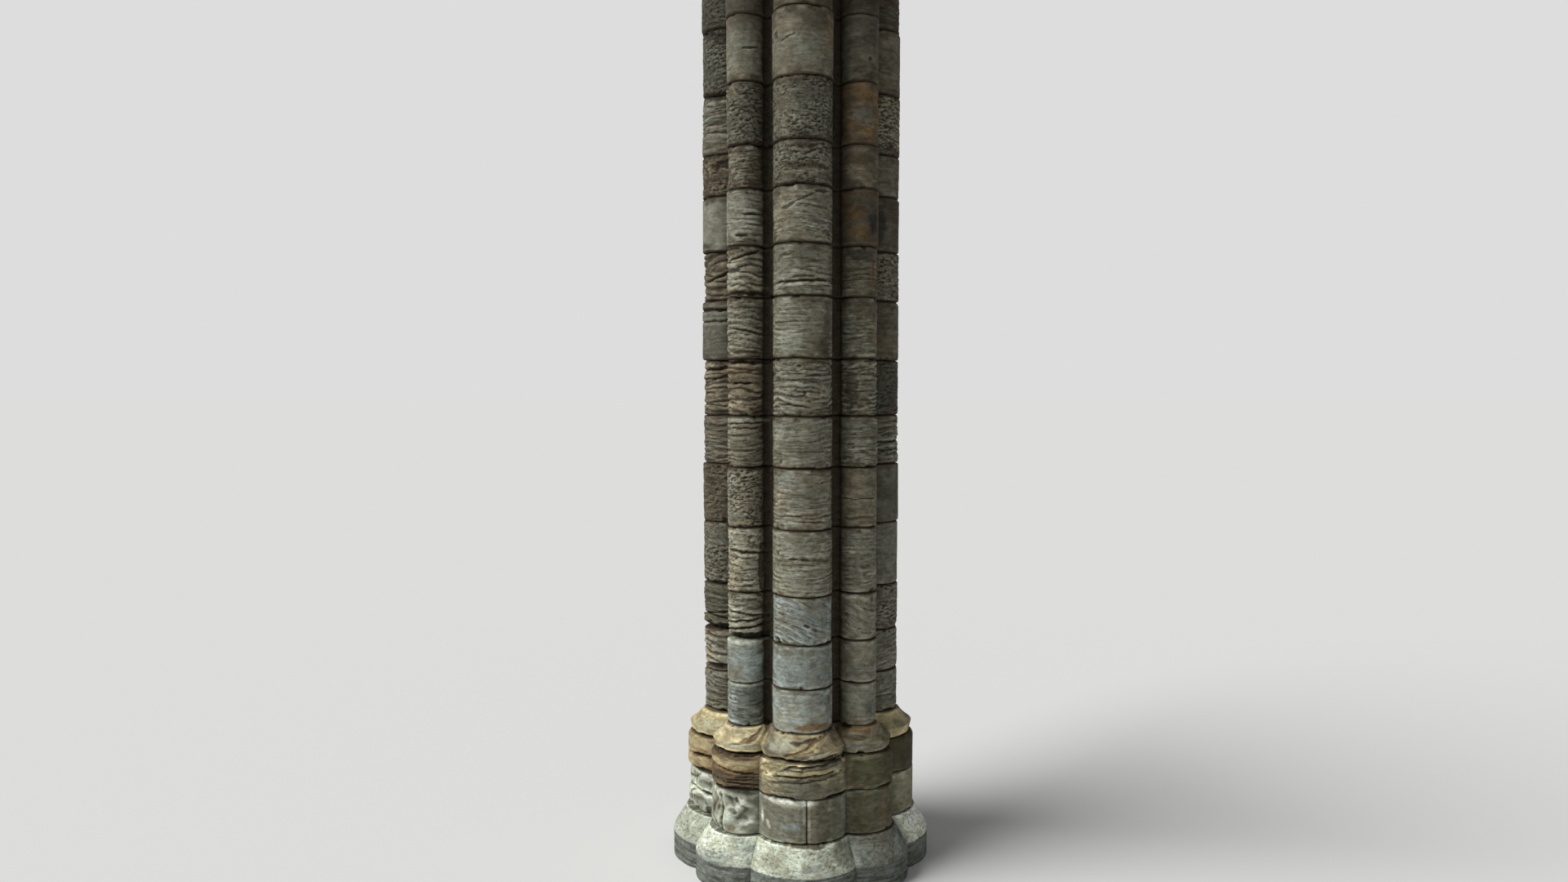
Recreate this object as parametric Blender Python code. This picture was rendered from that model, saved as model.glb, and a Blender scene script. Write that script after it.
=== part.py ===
"""Clustered stone pier: eight engaged shafts in courses, on a moulded and stepped base.

Four main shafts stand on the X and Y axes and four minor shafts on the diagonals, with a narrow
fillet between neighbours. Every course is one lobed block. It keeps the shafts' centres and
spreads their faces outwards, so the base steps out evenly all round.

Metres, +Z up. The origin is on the pier's axis, at ground level, under the footing.
"""

import math

import bmesh
import bpy
from mathutils import Vector

# Plan of the shafts
PIER_REACH = 0.600  # pier's axis to the face of a main shaft
MAIN_RADIUS = 0.175
MINOR_RADIUS = 0.114
MINOR_SET_BACK = 0.021  # a minor shaft's face stands this far inside the pier's reach
FILLET_SET_BACK = 0.198  # and the fillet between two shafts this far
MAIN_SHAFTS = 4  # with a minor shaft between each two

# How finely the round faces are cut
MAIN_FACETS = 12
MINOR_FACETS = 8

# Base courses, from the ground up. A spread is how far a face stands out from the shafts' faces.
FOOTING_HEIGHT = 0.300
FOOTING_SPREAD = 0.188
FOOTING_WASH = 0.135  # height of the sloping upper face
FOOTING_NOSE = 0.014  # half the height of the softened edge at the foot of the slope
FOOTING_LEDGE = 0.012  # top of the slope to the face of the plinth

PLINTH_SPREAD = 0.096
LOWER_PLINTH_HEIGHT = 0.255
UPPER_PLINTH_HEIGHT = 0.206
PLINTH_ROUNDING = 0.028  # upper edge of the upper plinth course

BASE_HEIGHT = 0.142
BELL_TOP_SPREAD = 0.005
BELL_SPREAD = 0.084
BELL_EDGE_HEIGHT = 0.062  # bed joint to the sharp edge where the bell begins
BELL_UNDERCUT = 0.016  # how far the moulding draws in again under that edge
BELL_HOLLOW = 0.010  # how far the bell's curve dips below a straight slope
BELL_FACETS = 6

# Shaft courses, from the base up
COURSE_HEIGHTS = (
    0.251, 0.250, 0.277, 0.378, 0.348, 0.295, 0.329,
    0.351, 0.292, 0.321, 0.248, 0.353, 0.375, 0.330,
)  # fmt: skip

BED_GAP = 0.0003  # clear gap left in each bed joint
SAME_POINT = 1e-5
SHARP_ANGLE = math.radians(32)
LOBE_ANGLE = math.pi / MAIN_SHAFTS  # between the middles of two neighbouring shafts


def facing(turn, distance=1.0):
    """The point at this distance from the axis, turned anticlockwise from -Y."""
    return Vector((math.sin(turn), -math.cos(turn))) * distance


def circles_meet(ring_a, radius_a, ring_b, radius_b):
    """Outer crossing of two neighbouring lobes' circles, seen from lobe a's middle, or None."""
    a = facing(0.0, ring_a)
    b = facing(LOBE_ANGLE, ring_b)
    apart = (b - a).length
    if apart >= radius_a + radius_b:
        return None
    along = (b - a) / apart
    ahead = (apart**2 + radius_a**2 - radius_b**2) / (2 * apart)
    aside = math.sqrt(radius_a**2 - ahead**2)
    return a + along * ahead + Vector((along.y, -along.x)) * aside


def reach_on_circle(ring, radius, reach):
    """Point of a lobe's circle at this distance from the axis, on the side of the next lobe."""
    cosine = (ring**2 + reach**2 - radius**2) / (2 * ring * reach)
    return facing(math.acos(max(-1.0, min(1.0, cosine))), reach)


def lobe_half_angle(own, other, fillet):
    """Half the arc that a lobe shows, before it meets the fillet or the next lobe."""
    ring, radius = own
    edge = circles_meet(ring, radius, *other)
    if edge is None or edge.length < fillet:
        edge = reach_on_circle(ring, radius, fillet)
    from_centre = edge - facing(0.0, ring)
    return math.atan2(from_centre.x, -from_centre.y)


def outline(spread):
    """The lobed plan, anticlockwise, starting with the main shaft at -Y."""
    main = (PIER_REACH - MAIN_RADIUS, MAIN_RADIUS + spread)
    minor = (PIER_REACH - MINOR_SET_BACK - MINOR_RADIUS, MINOR_RADIUS + spread)
    fillet = PIER_REACH - FILLET_SET_BACK + spread
    points = []
    for lobe in range(2 * MAIN_SHAFTS):
        is_minor = lobe % 2 == 1
        own, other = (minor, main) if is_minor else (main, minor)
        facets = MINOR_FACETS if is_minor else MAIN_FACETS
        half = lobe_half_angle(own, other, fillet)
        turn = lobe * LOBE_ANGLE
        for i in range(facets + 1):
            swing = half * (2 * i / facets - 1)
            points.append(facing(turn, own[0]) + facing(turn + swing, own[1]))
    return points


def footing_profile():
    """(height, spread) pairs, like every profile below: upright, softened edge, then the slope."""
    nose = FOOTING_HEIGHT - FOOTING_WASH
    top_spread = PLINTH_SPREAD + FOOTING_LEDGE
    fall = (FOOTING_SPREAD - top_spread) / FOOTING_WASH
    return [
        (0.0, FOOTING_SPREAD),
        (nose - FOOTING_NOSE, FOOTING_SPREAD),
        (nose + FOOTING_NOSE, FOOTING_SPREAD - FOOTING_NOSE * fall),
        (FOOTING_HEIGHT, top_spread),
    ]


def upper_plinth_profile():
    straight = UPPER_PLINTH_HEIGHT - PLINTH_ROUNDING
    quarter = [math.pi / 2 * i / 3 for i in range(4)]
    rounding = [
        (straight + PLINTH_ROUNDING * math.sin(turn), PLINTH_SPREAD - PLINTH_ROUNDING * (1 - math.cos(turn)))
        for turn in quarter
    ]
    return [(0.0, PLINTH_SPREAD), *rounding]


def base_profile():
    """A lip that leans out over its bed joint, then a hollow bell up to the shafts."""
    rise = BASE_HEIGHT - BELL_EDGE_HEIGHT
    bell = []
    for i in range(BELL_FACETS + 1):
        share = i / BELL_FACETS
        straight = BELL_SPREAD + (BELL_TOP_SPREAD - BELL_SPREAD) * share
        dip = BELL_HOLLOW * math.sin(share * math.pi)
        bell.append((BELL_EDGE_HEIGHT + rise * share, straight - dip))
    return [(0.0, BELL_SPREAD - BELL_UNDERCUT), *bell]


def ring_of(shape, spread, height):
    """A closed loop of edges round the outline."""
    verts = [shape.verts.new((point.x, point.y, height)) for point in outline(spread)]
    return [shape.edges.new(pair) for pair in zip(verts, verts[1:] + verts[:1])]


def lobed_block(name, profile, bottom, material):
    """One course: the outline drawn at each step of its profile, bridged and closed."""
    shape = bmesh.new()
    rings = [ring_of(shape, spread, height) for height, spread in profile]
    for lower, upper in zip(rings, rings[1:]):
        bmesh.ops.bridge_loops(shape, edges=lower + upper)
    bmesh.ops.contextual_create(shape, geom=rings[0])
    bmesh.ops.contextual_create(shape, geom=rings[-1])
    bmesh.ops.remove_doubles(shape, verts=shape.verts, dist=SAME_POINT)
    bmesh.ops.recalc_face_normals(shape, faces=shape.faces)
    mesh = bpy.data.meshes.new(name)
    shape.to_mesh(mesh)
    shape.free()
    mesh.shade_smooth()
    mesh.set_sharp_from_angle(angle=SHARP_ANGLE)
    mesh.materials.append(material)
    course = bpy.data.objects.new(name, mesh)
    course.location = (0.0, 0.0, bottom)
    bpy.context.collection.objects.link(course)
    return course


def stone(name, colour, roughness):
    material = bpy.data.materials.new(name)
    material.use_nodes = True
    shader = material.node_tree.nodes["Principled BSDF"]
    shader.inputs["Base Color"].default_value = (*colour, 1.0)
    shader.inputs["Roughness"].default_value = roughness
    shader.inputs["Metallic"].default_value = 0.0
    return material


def lay_footing(bottom):
    lichened = stone("lichened stone", (0.52, 0.51, 0.46), 0.95)
    lobed_block("footing", footing_profile(), bottom, lichened)
    return bottom + FOOTING_HEIGHT


def lay_plinth(bottom):
    lower = [(0.0, PLINTH_SPREAD), (LOWER_PLINTH_HEIGHT, PLINTH_SPREAD)]
    lobed_block("plinth_course_lower", lower, bottom, stone("grey-beige stone", (0.38, 0.36, 0.31), 0.93))
    seat = bottom + LOWER_PLINTH_HEIGHT
    tan = stone("tan bedded stone", (0.42, 0.35, 0.24), 0.94)
    lobed_block("plinth_course_upper", upper_plinth_profile(), seat + BED_GAP, tan)
    return seat + BED_GAP + UPPER_PLINTH_HEIGHT


def lay_base(bottom):
    yellow = stone("yellow-tan stone", (0.46, 0.39, 0.26), 0.93)
    lobed_block("base_moulding", base_profile(), bottom, yellow)
    return bottom + BASE_HEIGHT


def lay_shafts(bottom):
    """Courses of the shafts, lighter below and darker towards the top."""
    for number, height in enumerate(COURSE_HEIGHTS, start=1):
        dark = number / len(COURSE_HEIGHTS)
        colour = (0.36 - 0.10 * dark, 0.34 - 0.11 * dark, 0.30 - 0.12 * dark)
        name = f"shaft_course_{number:02d}"
        lobed_block(name, [(0.0, 0.0), (height, 0.0)], bottom, stone(name + " stone", colour, 0.92))
        bottom += height + BED_GAP
    return bottom - BED_GAP


def clear_scene():
    for old in list(bpy.data.objects):
        bpy.data.objects.remove(old, do_unlink=True)


def main():
    clear_scene()
    top = lay_footing(0.0)
    top = lay_plinth(top + BED_GAP)
    top = lay_base(top + BED_GAP)
    lay_shafts(top + BED_GAP)


main()
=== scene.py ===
"""Weathered clustered pier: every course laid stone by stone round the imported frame, and a plain stage.

A course is a ring of lobes, numbered anticlockwise from the main shaft in front. Each stone is a
grid laid over its stretch of the ring, worn inwards by weather and closed behind to the pier's axis.
"""

import math
from collections import namedtuple

import bmesh
import bpy
import numpy as np
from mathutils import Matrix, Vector


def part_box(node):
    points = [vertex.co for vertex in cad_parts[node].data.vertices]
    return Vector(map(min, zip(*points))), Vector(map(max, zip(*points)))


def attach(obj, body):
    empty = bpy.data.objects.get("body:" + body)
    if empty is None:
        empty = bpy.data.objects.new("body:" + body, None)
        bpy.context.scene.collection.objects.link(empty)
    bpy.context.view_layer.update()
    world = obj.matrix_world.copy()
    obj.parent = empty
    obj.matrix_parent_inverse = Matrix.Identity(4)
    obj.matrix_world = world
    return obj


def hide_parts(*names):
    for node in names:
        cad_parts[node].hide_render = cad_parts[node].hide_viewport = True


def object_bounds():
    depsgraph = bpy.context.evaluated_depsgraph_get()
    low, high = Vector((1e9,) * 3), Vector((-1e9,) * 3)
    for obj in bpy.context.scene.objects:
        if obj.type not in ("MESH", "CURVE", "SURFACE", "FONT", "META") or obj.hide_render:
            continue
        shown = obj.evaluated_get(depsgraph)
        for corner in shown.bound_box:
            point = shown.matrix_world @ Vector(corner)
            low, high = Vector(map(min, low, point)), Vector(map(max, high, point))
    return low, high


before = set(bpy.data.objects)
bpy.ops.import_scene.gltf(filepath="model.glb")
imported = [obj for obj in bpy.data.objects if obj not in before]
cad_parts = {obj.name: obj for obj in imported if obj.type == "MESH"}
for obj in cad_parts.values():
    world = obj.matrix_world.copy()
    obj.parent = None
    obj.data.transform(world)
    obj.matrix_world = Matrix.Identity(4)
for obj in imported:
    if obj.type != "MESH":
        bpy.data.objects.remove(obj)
CAD_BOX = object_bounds()

bl_info = {
    "name": "Weathered clustered pier",
    "version": (1, 0, 0),
    "blender": (4, 5, 0),
    "location": "3D View > Sidebar > Pier",
    "description": "Lays the stones of a weathered clustered pier, with its moulded base and a stage",
    "category": "Add Mesh",
}

SHAFTS = [name for name in sorted(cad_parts) if name.startswith("shaft_course_")]
MAIN_SHAFTS = 4
LOBES = 2 * MAIN_SHAFTS
LOBE_ANGLE = math.pi / MAIN_SHAFTS
FRONT, FRONT_RIGHT, RIGHT, BACK_RIGHT, BACK, BACK_LEFT, LEFT, FRONT_LEFT = range(LOBES)
SEEN_LOBES = (LEFT, FRONT_LEFT, FRONT, FRONT_RIGHT, RIGHT)
# A hidden lobe weathers like the seen one named here, with its own random draws
LIKE = {BACK_RIGHT: FRONT_RIGHT, BACK: FRONT, BACK_LEFT: FRONT_LEFT}

MM = 0.001
SAME_POINT = 1e-6
HALVINGS = 40  # to close in on where two lobes cross
FRACTAL_SPREAD = 1.4  # brings a sum of octaves back to about the spread of plain noise
FAR = 1.0  # further than any edge of a stone
HAIRLINE = 0.0001  # half the gap between two stones in a hollow
RETURN = 0.050  # how far behind its hollows a stone's first return ends
AXIS_ROOM = 0.003  # clear space that each stone leaves at the pier's axis
SHARP_ANGLE = math.radians(75)

USUAL_SLOPE = 0.03  # spread of the beds' slopes where the table gives none
WANDER = 0.015  # how far the beds wander up and down, and how far they waver in a shorter run
WAVER = 0.004
FULL_PIT = 7.0  # pits of this many millimetres are fully darkened, as dirt and painted shade
HOLLOW_DEPTH = 0.004  # in the hollows all stones are worn alike, so that their joint hardly shows
HOLLOW_REACH = 0.030
HOLLOW_WINDOW = 0.044  # how wide a patch a darkened hollow is deeper than
SIDE_ROUNDING = 0.008  # at an upright joint on a face, and how far from it this begins
SIDE_REACH = 0.014
FOOTING_ROUNDING = 0.3  # the footing's edges, against the other courses'
OPEN_TOPS = ("footing", "plinth_course_upper", "base_moulding")  # rain keeps their upper edges clean
DIRT_AND_SHADE_RELIEF = 2.2 * MM  # a hollow this deep is fully darkened, as dirt and painted shade, and a ridge this high is fully lightened, as wear and painted highlight
DAMP_AND_SHADE_TO = 0.250  # upright faces are painted dark, as damp and painted shade, up to this height
DAMP_AND_SHADE_FADE = 0.05
DARKER_FROM = 1.2  # above this height the pier is painted darker, and its joint lines and stains spread wider
NEIGHBOUR_REACH = 0.09  # how far the base's colours run over from stone to stone
RUSTY = (0.72, 0.60, 0.46)  # what a brown cloud leaves of the colour under it
BED_SHADE = 0.8  # the hidden beds are plain olive stone


def reach_of(node):
    """Distance from the pier's axis to the face of a course's main shafts."""
    low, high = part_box(node)
    return (high.x - low.x) / 2


def length(name, metres, description):
    return bpy.props.FloatProperty(
        name=name, description=description, default=metres, unit="LENGTH", subtype="DISTANCE", precision=4
    )


def factor(name, value, description, most=1.0):
    return bpy.props.FloatProperty(
        name=name, description=description, default=value, min=0.0, max=most, subtype="FACTOR"
    )


def angle(name, degrees, description):
    return bpy.props.FloatProperty(
        name=name, description=description, default=math.radians(degrees), subtype="ANGLE"
    )


def tint(name, colour, description):
    return bpy.props.FloatVectorProperty(
        name=name, description=description, default=colour, size=3, min=0.0, max=1.0, subtype="COLOR"
    )


class PierPlan(bpy.types.PropertyGroup):
    """Sizes of the ring of shafts and of the courses' profiles."""

    reach: length("Reach", reach_of(SHAFTS[0]), "Pier's axis to the face of a main shaft")
    main_radius: length("Main shaft", 0.175, "Radius of the four main shafts")
    minor_radius: length("Minor shaft", 0.114, "Radius of the four minor shafts")
    minor_set_back: length("Minor set back", 0.021, "How far a minor shaft's face stands inside the reach")
    fillet_set_back: length("Fillet set back", 0.198, "How far the fillets stand inside the reach")
    wash: length("Wash", 0.135, "Height of the footing's sloping face")
    wash_nose: length("Wash nose", 0.030, "Softened edge at the foot of that slope")
    ledge: length("Ledge", 0.012, "Top of the slope to the face of the plinth")
    plinth_rounding: length("Plinth rounding", 0.028, "Upper edge of the upper plinth course")
    bell_top: length("Bell top", 0.005, "How far the top of the bell stands out from the shafts")
    bell_edge: length("Bell edge", 0.062, "Bed joint to the edge where the bell begins")
    bell_undercut: length("Bell undercut", 0.016, "How far the moulding draws in under that edge")
    bell_hollow: length("Bell hollow", 0.010, "How far the bell dips below a straight slope")


class PierWear(bpy.types.PropertyGroup):
    """How the stones are worn, dirtied and painted with shade, and how finely they are cut into faces."""

    column: length("Column", 0.0086, "Width of a face on the seen stones")
    row: length("Row", 0.0057, "Height of a face on the seen stones")
    coarser: factor("Coarser behind", 2.0, "How much larger the faces are on the hidden stones", 4.0)
    relief: factor("Relief", 1.0, "Depth of all weathering, against the depths in the table", 3.0)
    arris: length("Arris", 0.0135, "Usual rounding of a stone's edges at its bed joints")
    chip: length("Chip", 0.0220, "Depth of the largest chips along those edges")
    unsettled: length("Unsettled", 0.0045, "How far the bed joints rise and fall")
    inset: length("Inset", 0.0060, "How far some stones stand back from their neighbours")
    joint: length("Joint", 0.0010, "Half the gap between two stones of a course")
    shelter: factor("Shelter", 0.45, "Share of the weathering that reaches the hollows between shafts")
    # Darkness of the cavities, painted as dirt and as shade
    cavity_dirt_and_shade: factor("Dirt", 0.85, "How dark the cavities are")
    # How much darker the pier is painted towards its top
    sooty: factor("Darkened top", 0.32, "How much darker the highest course is")
    # Darkness of the brown stains along the bed joints, and of the painted shade in the hollows between
    # shafts
    grime_and_hollow_shade: factor("Grime", 0.85, "How dark the stains along the bed joints are")
    grime_reach: length("Grime reach", 0.060, "How far those stains spread from a bed joint")
    seed: bpy.props.IntProperty(name="Seed", description="Start of the random draws", default=7, min=0)


class PierTints(bpy.types.PropertyGroup):
    """The stone's colours, from fresh to stained, with the darkest also painting shade."""

    chalk: tint("Chalk", (0.72, 0.76, 0.69), "Fresh white edges of chips")
    pale: tint("Pale", (0.50, 0.55, 0.46), "Lichened or freshly flaked stone")
    blue: tint("Blue", (0.242, 0.286, 0.277), "Pale blue-grey stone")
    slate: tint("Slate", (0.115, 0.130, 0.118), "Dark blue-grey stone")
    grey: tint("Grey", (0.200, 0.204, 0.166), "Sound grey face")
    buff: tint("Buff", (0.215, 0.192, 0.138), "Warm beige")
    olive: tint("Olive", (0.150, 0.150, 0.110), "Greenish grey-brown")
    moss: tint("Moss", (0.122, 0.116, 0.066), "Yellowish green-brown")
    tan: tint("Tan", (0.48, 0.42, 0.25), "Yellow-tan")
    ochre: tint("Ochre", (0.23, 0.148, 0.070), "Orange-brown iron stain")
    brown: tint("Brown", (0.100, 0.080, 0.054), "Brown stain")
    # Painted on upright faces near the ground, as damp and as painted shade
    damp: tint("Damp", (0.124, 0.138, 0.127), "Damp stone near the ground")
    # Dirt in the joints, and painted shade in deep hollows, gaps, cracks and grooves
    umber: tint("Umber", (0.028, 0.023, 0.015), "Dirt in joints and deep hollows")
    soot: tint("Soot", (0.036, 0.034, 0.029), "Black crust")


class PierStage(bpy.types.PropertyGroup):
    """Floor, light and the photograph's view."""

    paper: factor("Paper", 0.723, "Brightness of the background, as linear light")
    sky: factor("Sky", 0.20, "Brightness of the light that comes from all round", 3.0)
    key: factor("Key", 3.25, "Strength of the main light, from the left", 20.0)
    key_spread: angle("Key spread", 40, "Angle that the main light fills")
    lens: bpy.props.FloatProperty(
        name="Lens", description="Focal length on a 36 mm frame", default=25.73, unit="CAMERA"
    )
    distance: length("Distance", 6.859, "Camera to the pier's axis, along the ground")
    height: length("Height", 2.875, "Camera above the ground")
    azimuth: angle("Azimuth", -1.4, "Camera's place round the pier")
    swing: angle("Swing", 0.856, "How far the camera looks past the axis")
    pitch: angle("Pitch", 2.78, "How far the camera looks down")


# Depths of weathering in millimetres: broad swell, combed beds, stepped ledges, pits, rolls, lumps;
# the thickness of the beds in millimetres and how much they swirl; then how strong the fine beds and
# the fine pits are in the material.
Style = namedtuple("Style", "broad combed ledge pit roll lump thick swirl bedded pocked")
WEAR_STYLES = {
    "crisp": (1.5, 0.8, 0.0, 0.0, 0.0, 0.0, 20, 0.4, 0.35, 0.10),
    "smooth": (2.5, 1.8, 0.7, 1.0, 0.0, 0.0, 20, 0.7, 0.50, 0.30),
    "combed": (3.0, 4.2, 2.6, 1.8, 0.0, 0.0, 16, 1.0, 0.80, 0.30),
    "layered": (4.0, 5.5, 6.5, 3.0, 4.0, 0.0, 22, 1.6, 0.90, 0.30),
    "rolled": (6.0, 4.0, 4.5, 3.0, 12.0, 0.0, 38, 1.9, 0.80, 0.40),
    "pitted": (3.5, 3.0, 2.0, 8.0, 0.0, 0.0, 18, 1.2, 0.50, 1.00),
    "gouged": (4.0, 3.0, 2.0, 8.0, 1.0, 0.0, 22, 1.5, 0.50, 1.00),
    "rough": (5.0, 3.0, 3.0, 4.0, 3.0, 7.0, 26, 1.8, 0.70, 0.60),
    "lumpy": (6.0, 1.0, 1.5, 1.5, 0.0, 26.0, 50, 2.0, 0.20, 0.25),
    "lichened": (4.0, 0.6, 0.6, 2.0, 0.0, 0.0, 40, 0.8, 0.20, 0.60),
}

SHADES = {
    "sooty": 0.50, "dark": 0.60, "murky": 0.70, "dim": 0.80, "dull": 0.90,
    "mid": 1.00, "clear": 1.10, "light": 1.22, "fair": 1.35, "bright": 1.50,
}  # fmt: skip

# Each course from left to right as seen from the front: how it is worn, its tint, its second tint,
# its shade, and the slope of its beds where they aren't level.
COURSES = {
    "footing": (
        "lichened pale pale dim | lichened pale blue light | lichened pale pale mid"
        " | lichened grey blue dull | lichened chalk pale fair"
    ),
    "plinth_course_lower": (
        "lumpy pale grey dim | lumpy pale grey murky | smooth grey olive mid"
        " | smooth moss olive dim | crisp olive moss bright"
    ),
    "plinth_course_upper": (
        "smooth tan ochre murky | combed ochre brown murky | combed olive tan mid"
        " | smooth moss moss murky | crisp moss brown dark"
    ),
    "base_moulding": (
        "smooth tan tan dull | smooth tan buff light | smooth tan buff dark 0.25"
        " | smooth buff moss mid | crisp tan olive light"
    ),
    "shaft_course_01": (
        "layered grey olive dim | combed slate blue light | smooth blue grey light"
        " | smooth grey olive clear | combed grey olive dim"
    ),
    "shaft_course_02": (
        "rolled grey buff dull | smooth blue grey clear | smooth blue grey mid"
        " | smooth grey olive mid | combed grey olive dull -0.25"
    ),
    "shaft_course_03": (
        "layered olive olive sooty | layered grey olive light | combed blue grey mid 0.35"
        " | combed grey olive clear 0.3 | pitted olive grey dim"
    ),
    "shaft_course_04": (
        "pitted grey buff dark | rough grey buff fair | combed grey olive clear"
        " | combed grey olive mid | smooth grey olive dim"
    ),
    "shaft_course_05": (
        "pitted buff brown sooty | pitted buff grey dull | combed grey buff dull"
        " | smooth buff olive dim | crisp olive grey dark"
    ),
    "shaft_course_06": (
        "layered buff grey dark | layered buff grey dim | combed grey olive mid -0.12"
        " | combed grey olive dull | layered olive grey dim"
    ),
    "shaft_course_07": (
        "rolled buff brown dim | rolled buff brown mid | layered grey buff dull"
        " | layered olive grey mid | pitted olive slate sooty"
    ),
    "shaft_course_08": (
        "smooth grey olive murky | layered grey buff mid | combed grey olive clear"
        " | combed olive grey mid | smooth olive brown clear"
    ),
    "shaft_course_09": (
        "rolled buff brown dim | rolled grey buff light | combed grey olive mid"
        " | combed brown olive mid | pitted olive buff dull"
    ),
    "shaft_course_10": (
        "crisp grey grey clear | combed grey grey fair | combed grey buff clear 0.12"
        " | crisp ochre olive sooty | smooth brown olive dim"
    ),
    "shaft_course_11": (
        "gouged buff brown dull | rough brown grey fair | pitted grey buff dim"
        " | smooth brown buff mid | smooth olive brown light"
    ),
    "shaft_course_12": (
        "layered grey buff dull | gouged grey buff murky | gouged grey olive dim"
        " | smooth brown ochre mid | pitted olive buff clear"
    ),
    "shaft_course_13": (
        "gouged grey olive dark -0.3 | smooth grey buff clear | smooth buff grey mid"
        " | smooth olive brown dull | smooth olive brown light"
    ),
    "shaft_course_14": (
        "pitted olive grey sooty | smooth olive grey murky | smooth buff brown mid"
        " | smooth brown olive dark | combed brown olive dark"
    ),
}

# Noise fields: the size of their patches along X, Y and Z in metres, and where each starts
FIELDS = {
    "wander": (0.26, 0.26, 0.14, 0),
    "waver": (0.085, 0.085, 0.05, 4),
    "swell": (0.16, 0.16, 0.16, 0),
    "gusts": (0.20, 0.20, 0.09, 13),
    "pitted": (0.12, 0.12, 0.08, 5),
    "lumps": (0.12, 0.12, 0.085, 41),
    "small lumps": (0.04, 0.04, 0.04, 43),
    "creases": (0.22, 0.22, 0.12, 45),
    "ragged": (0.055, 0.055, 0.028, 60),
    "mark edges": (0.075, 0.075, 0.30, 65),
    "arris": (0.06, 0.06, 0.06, 70),
    "chips": (0.08, 0.08, 0.09, 80),
    "brightness": (0.15, 0.15, 0.11, 52),
    "patches": (0.15, 0.15, 0.10, 55),
    "clouds": (0.085, 0.085, 0.050, 58),
    "blots": (0.09, 0.09, 0.05, 90),
}
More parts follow.
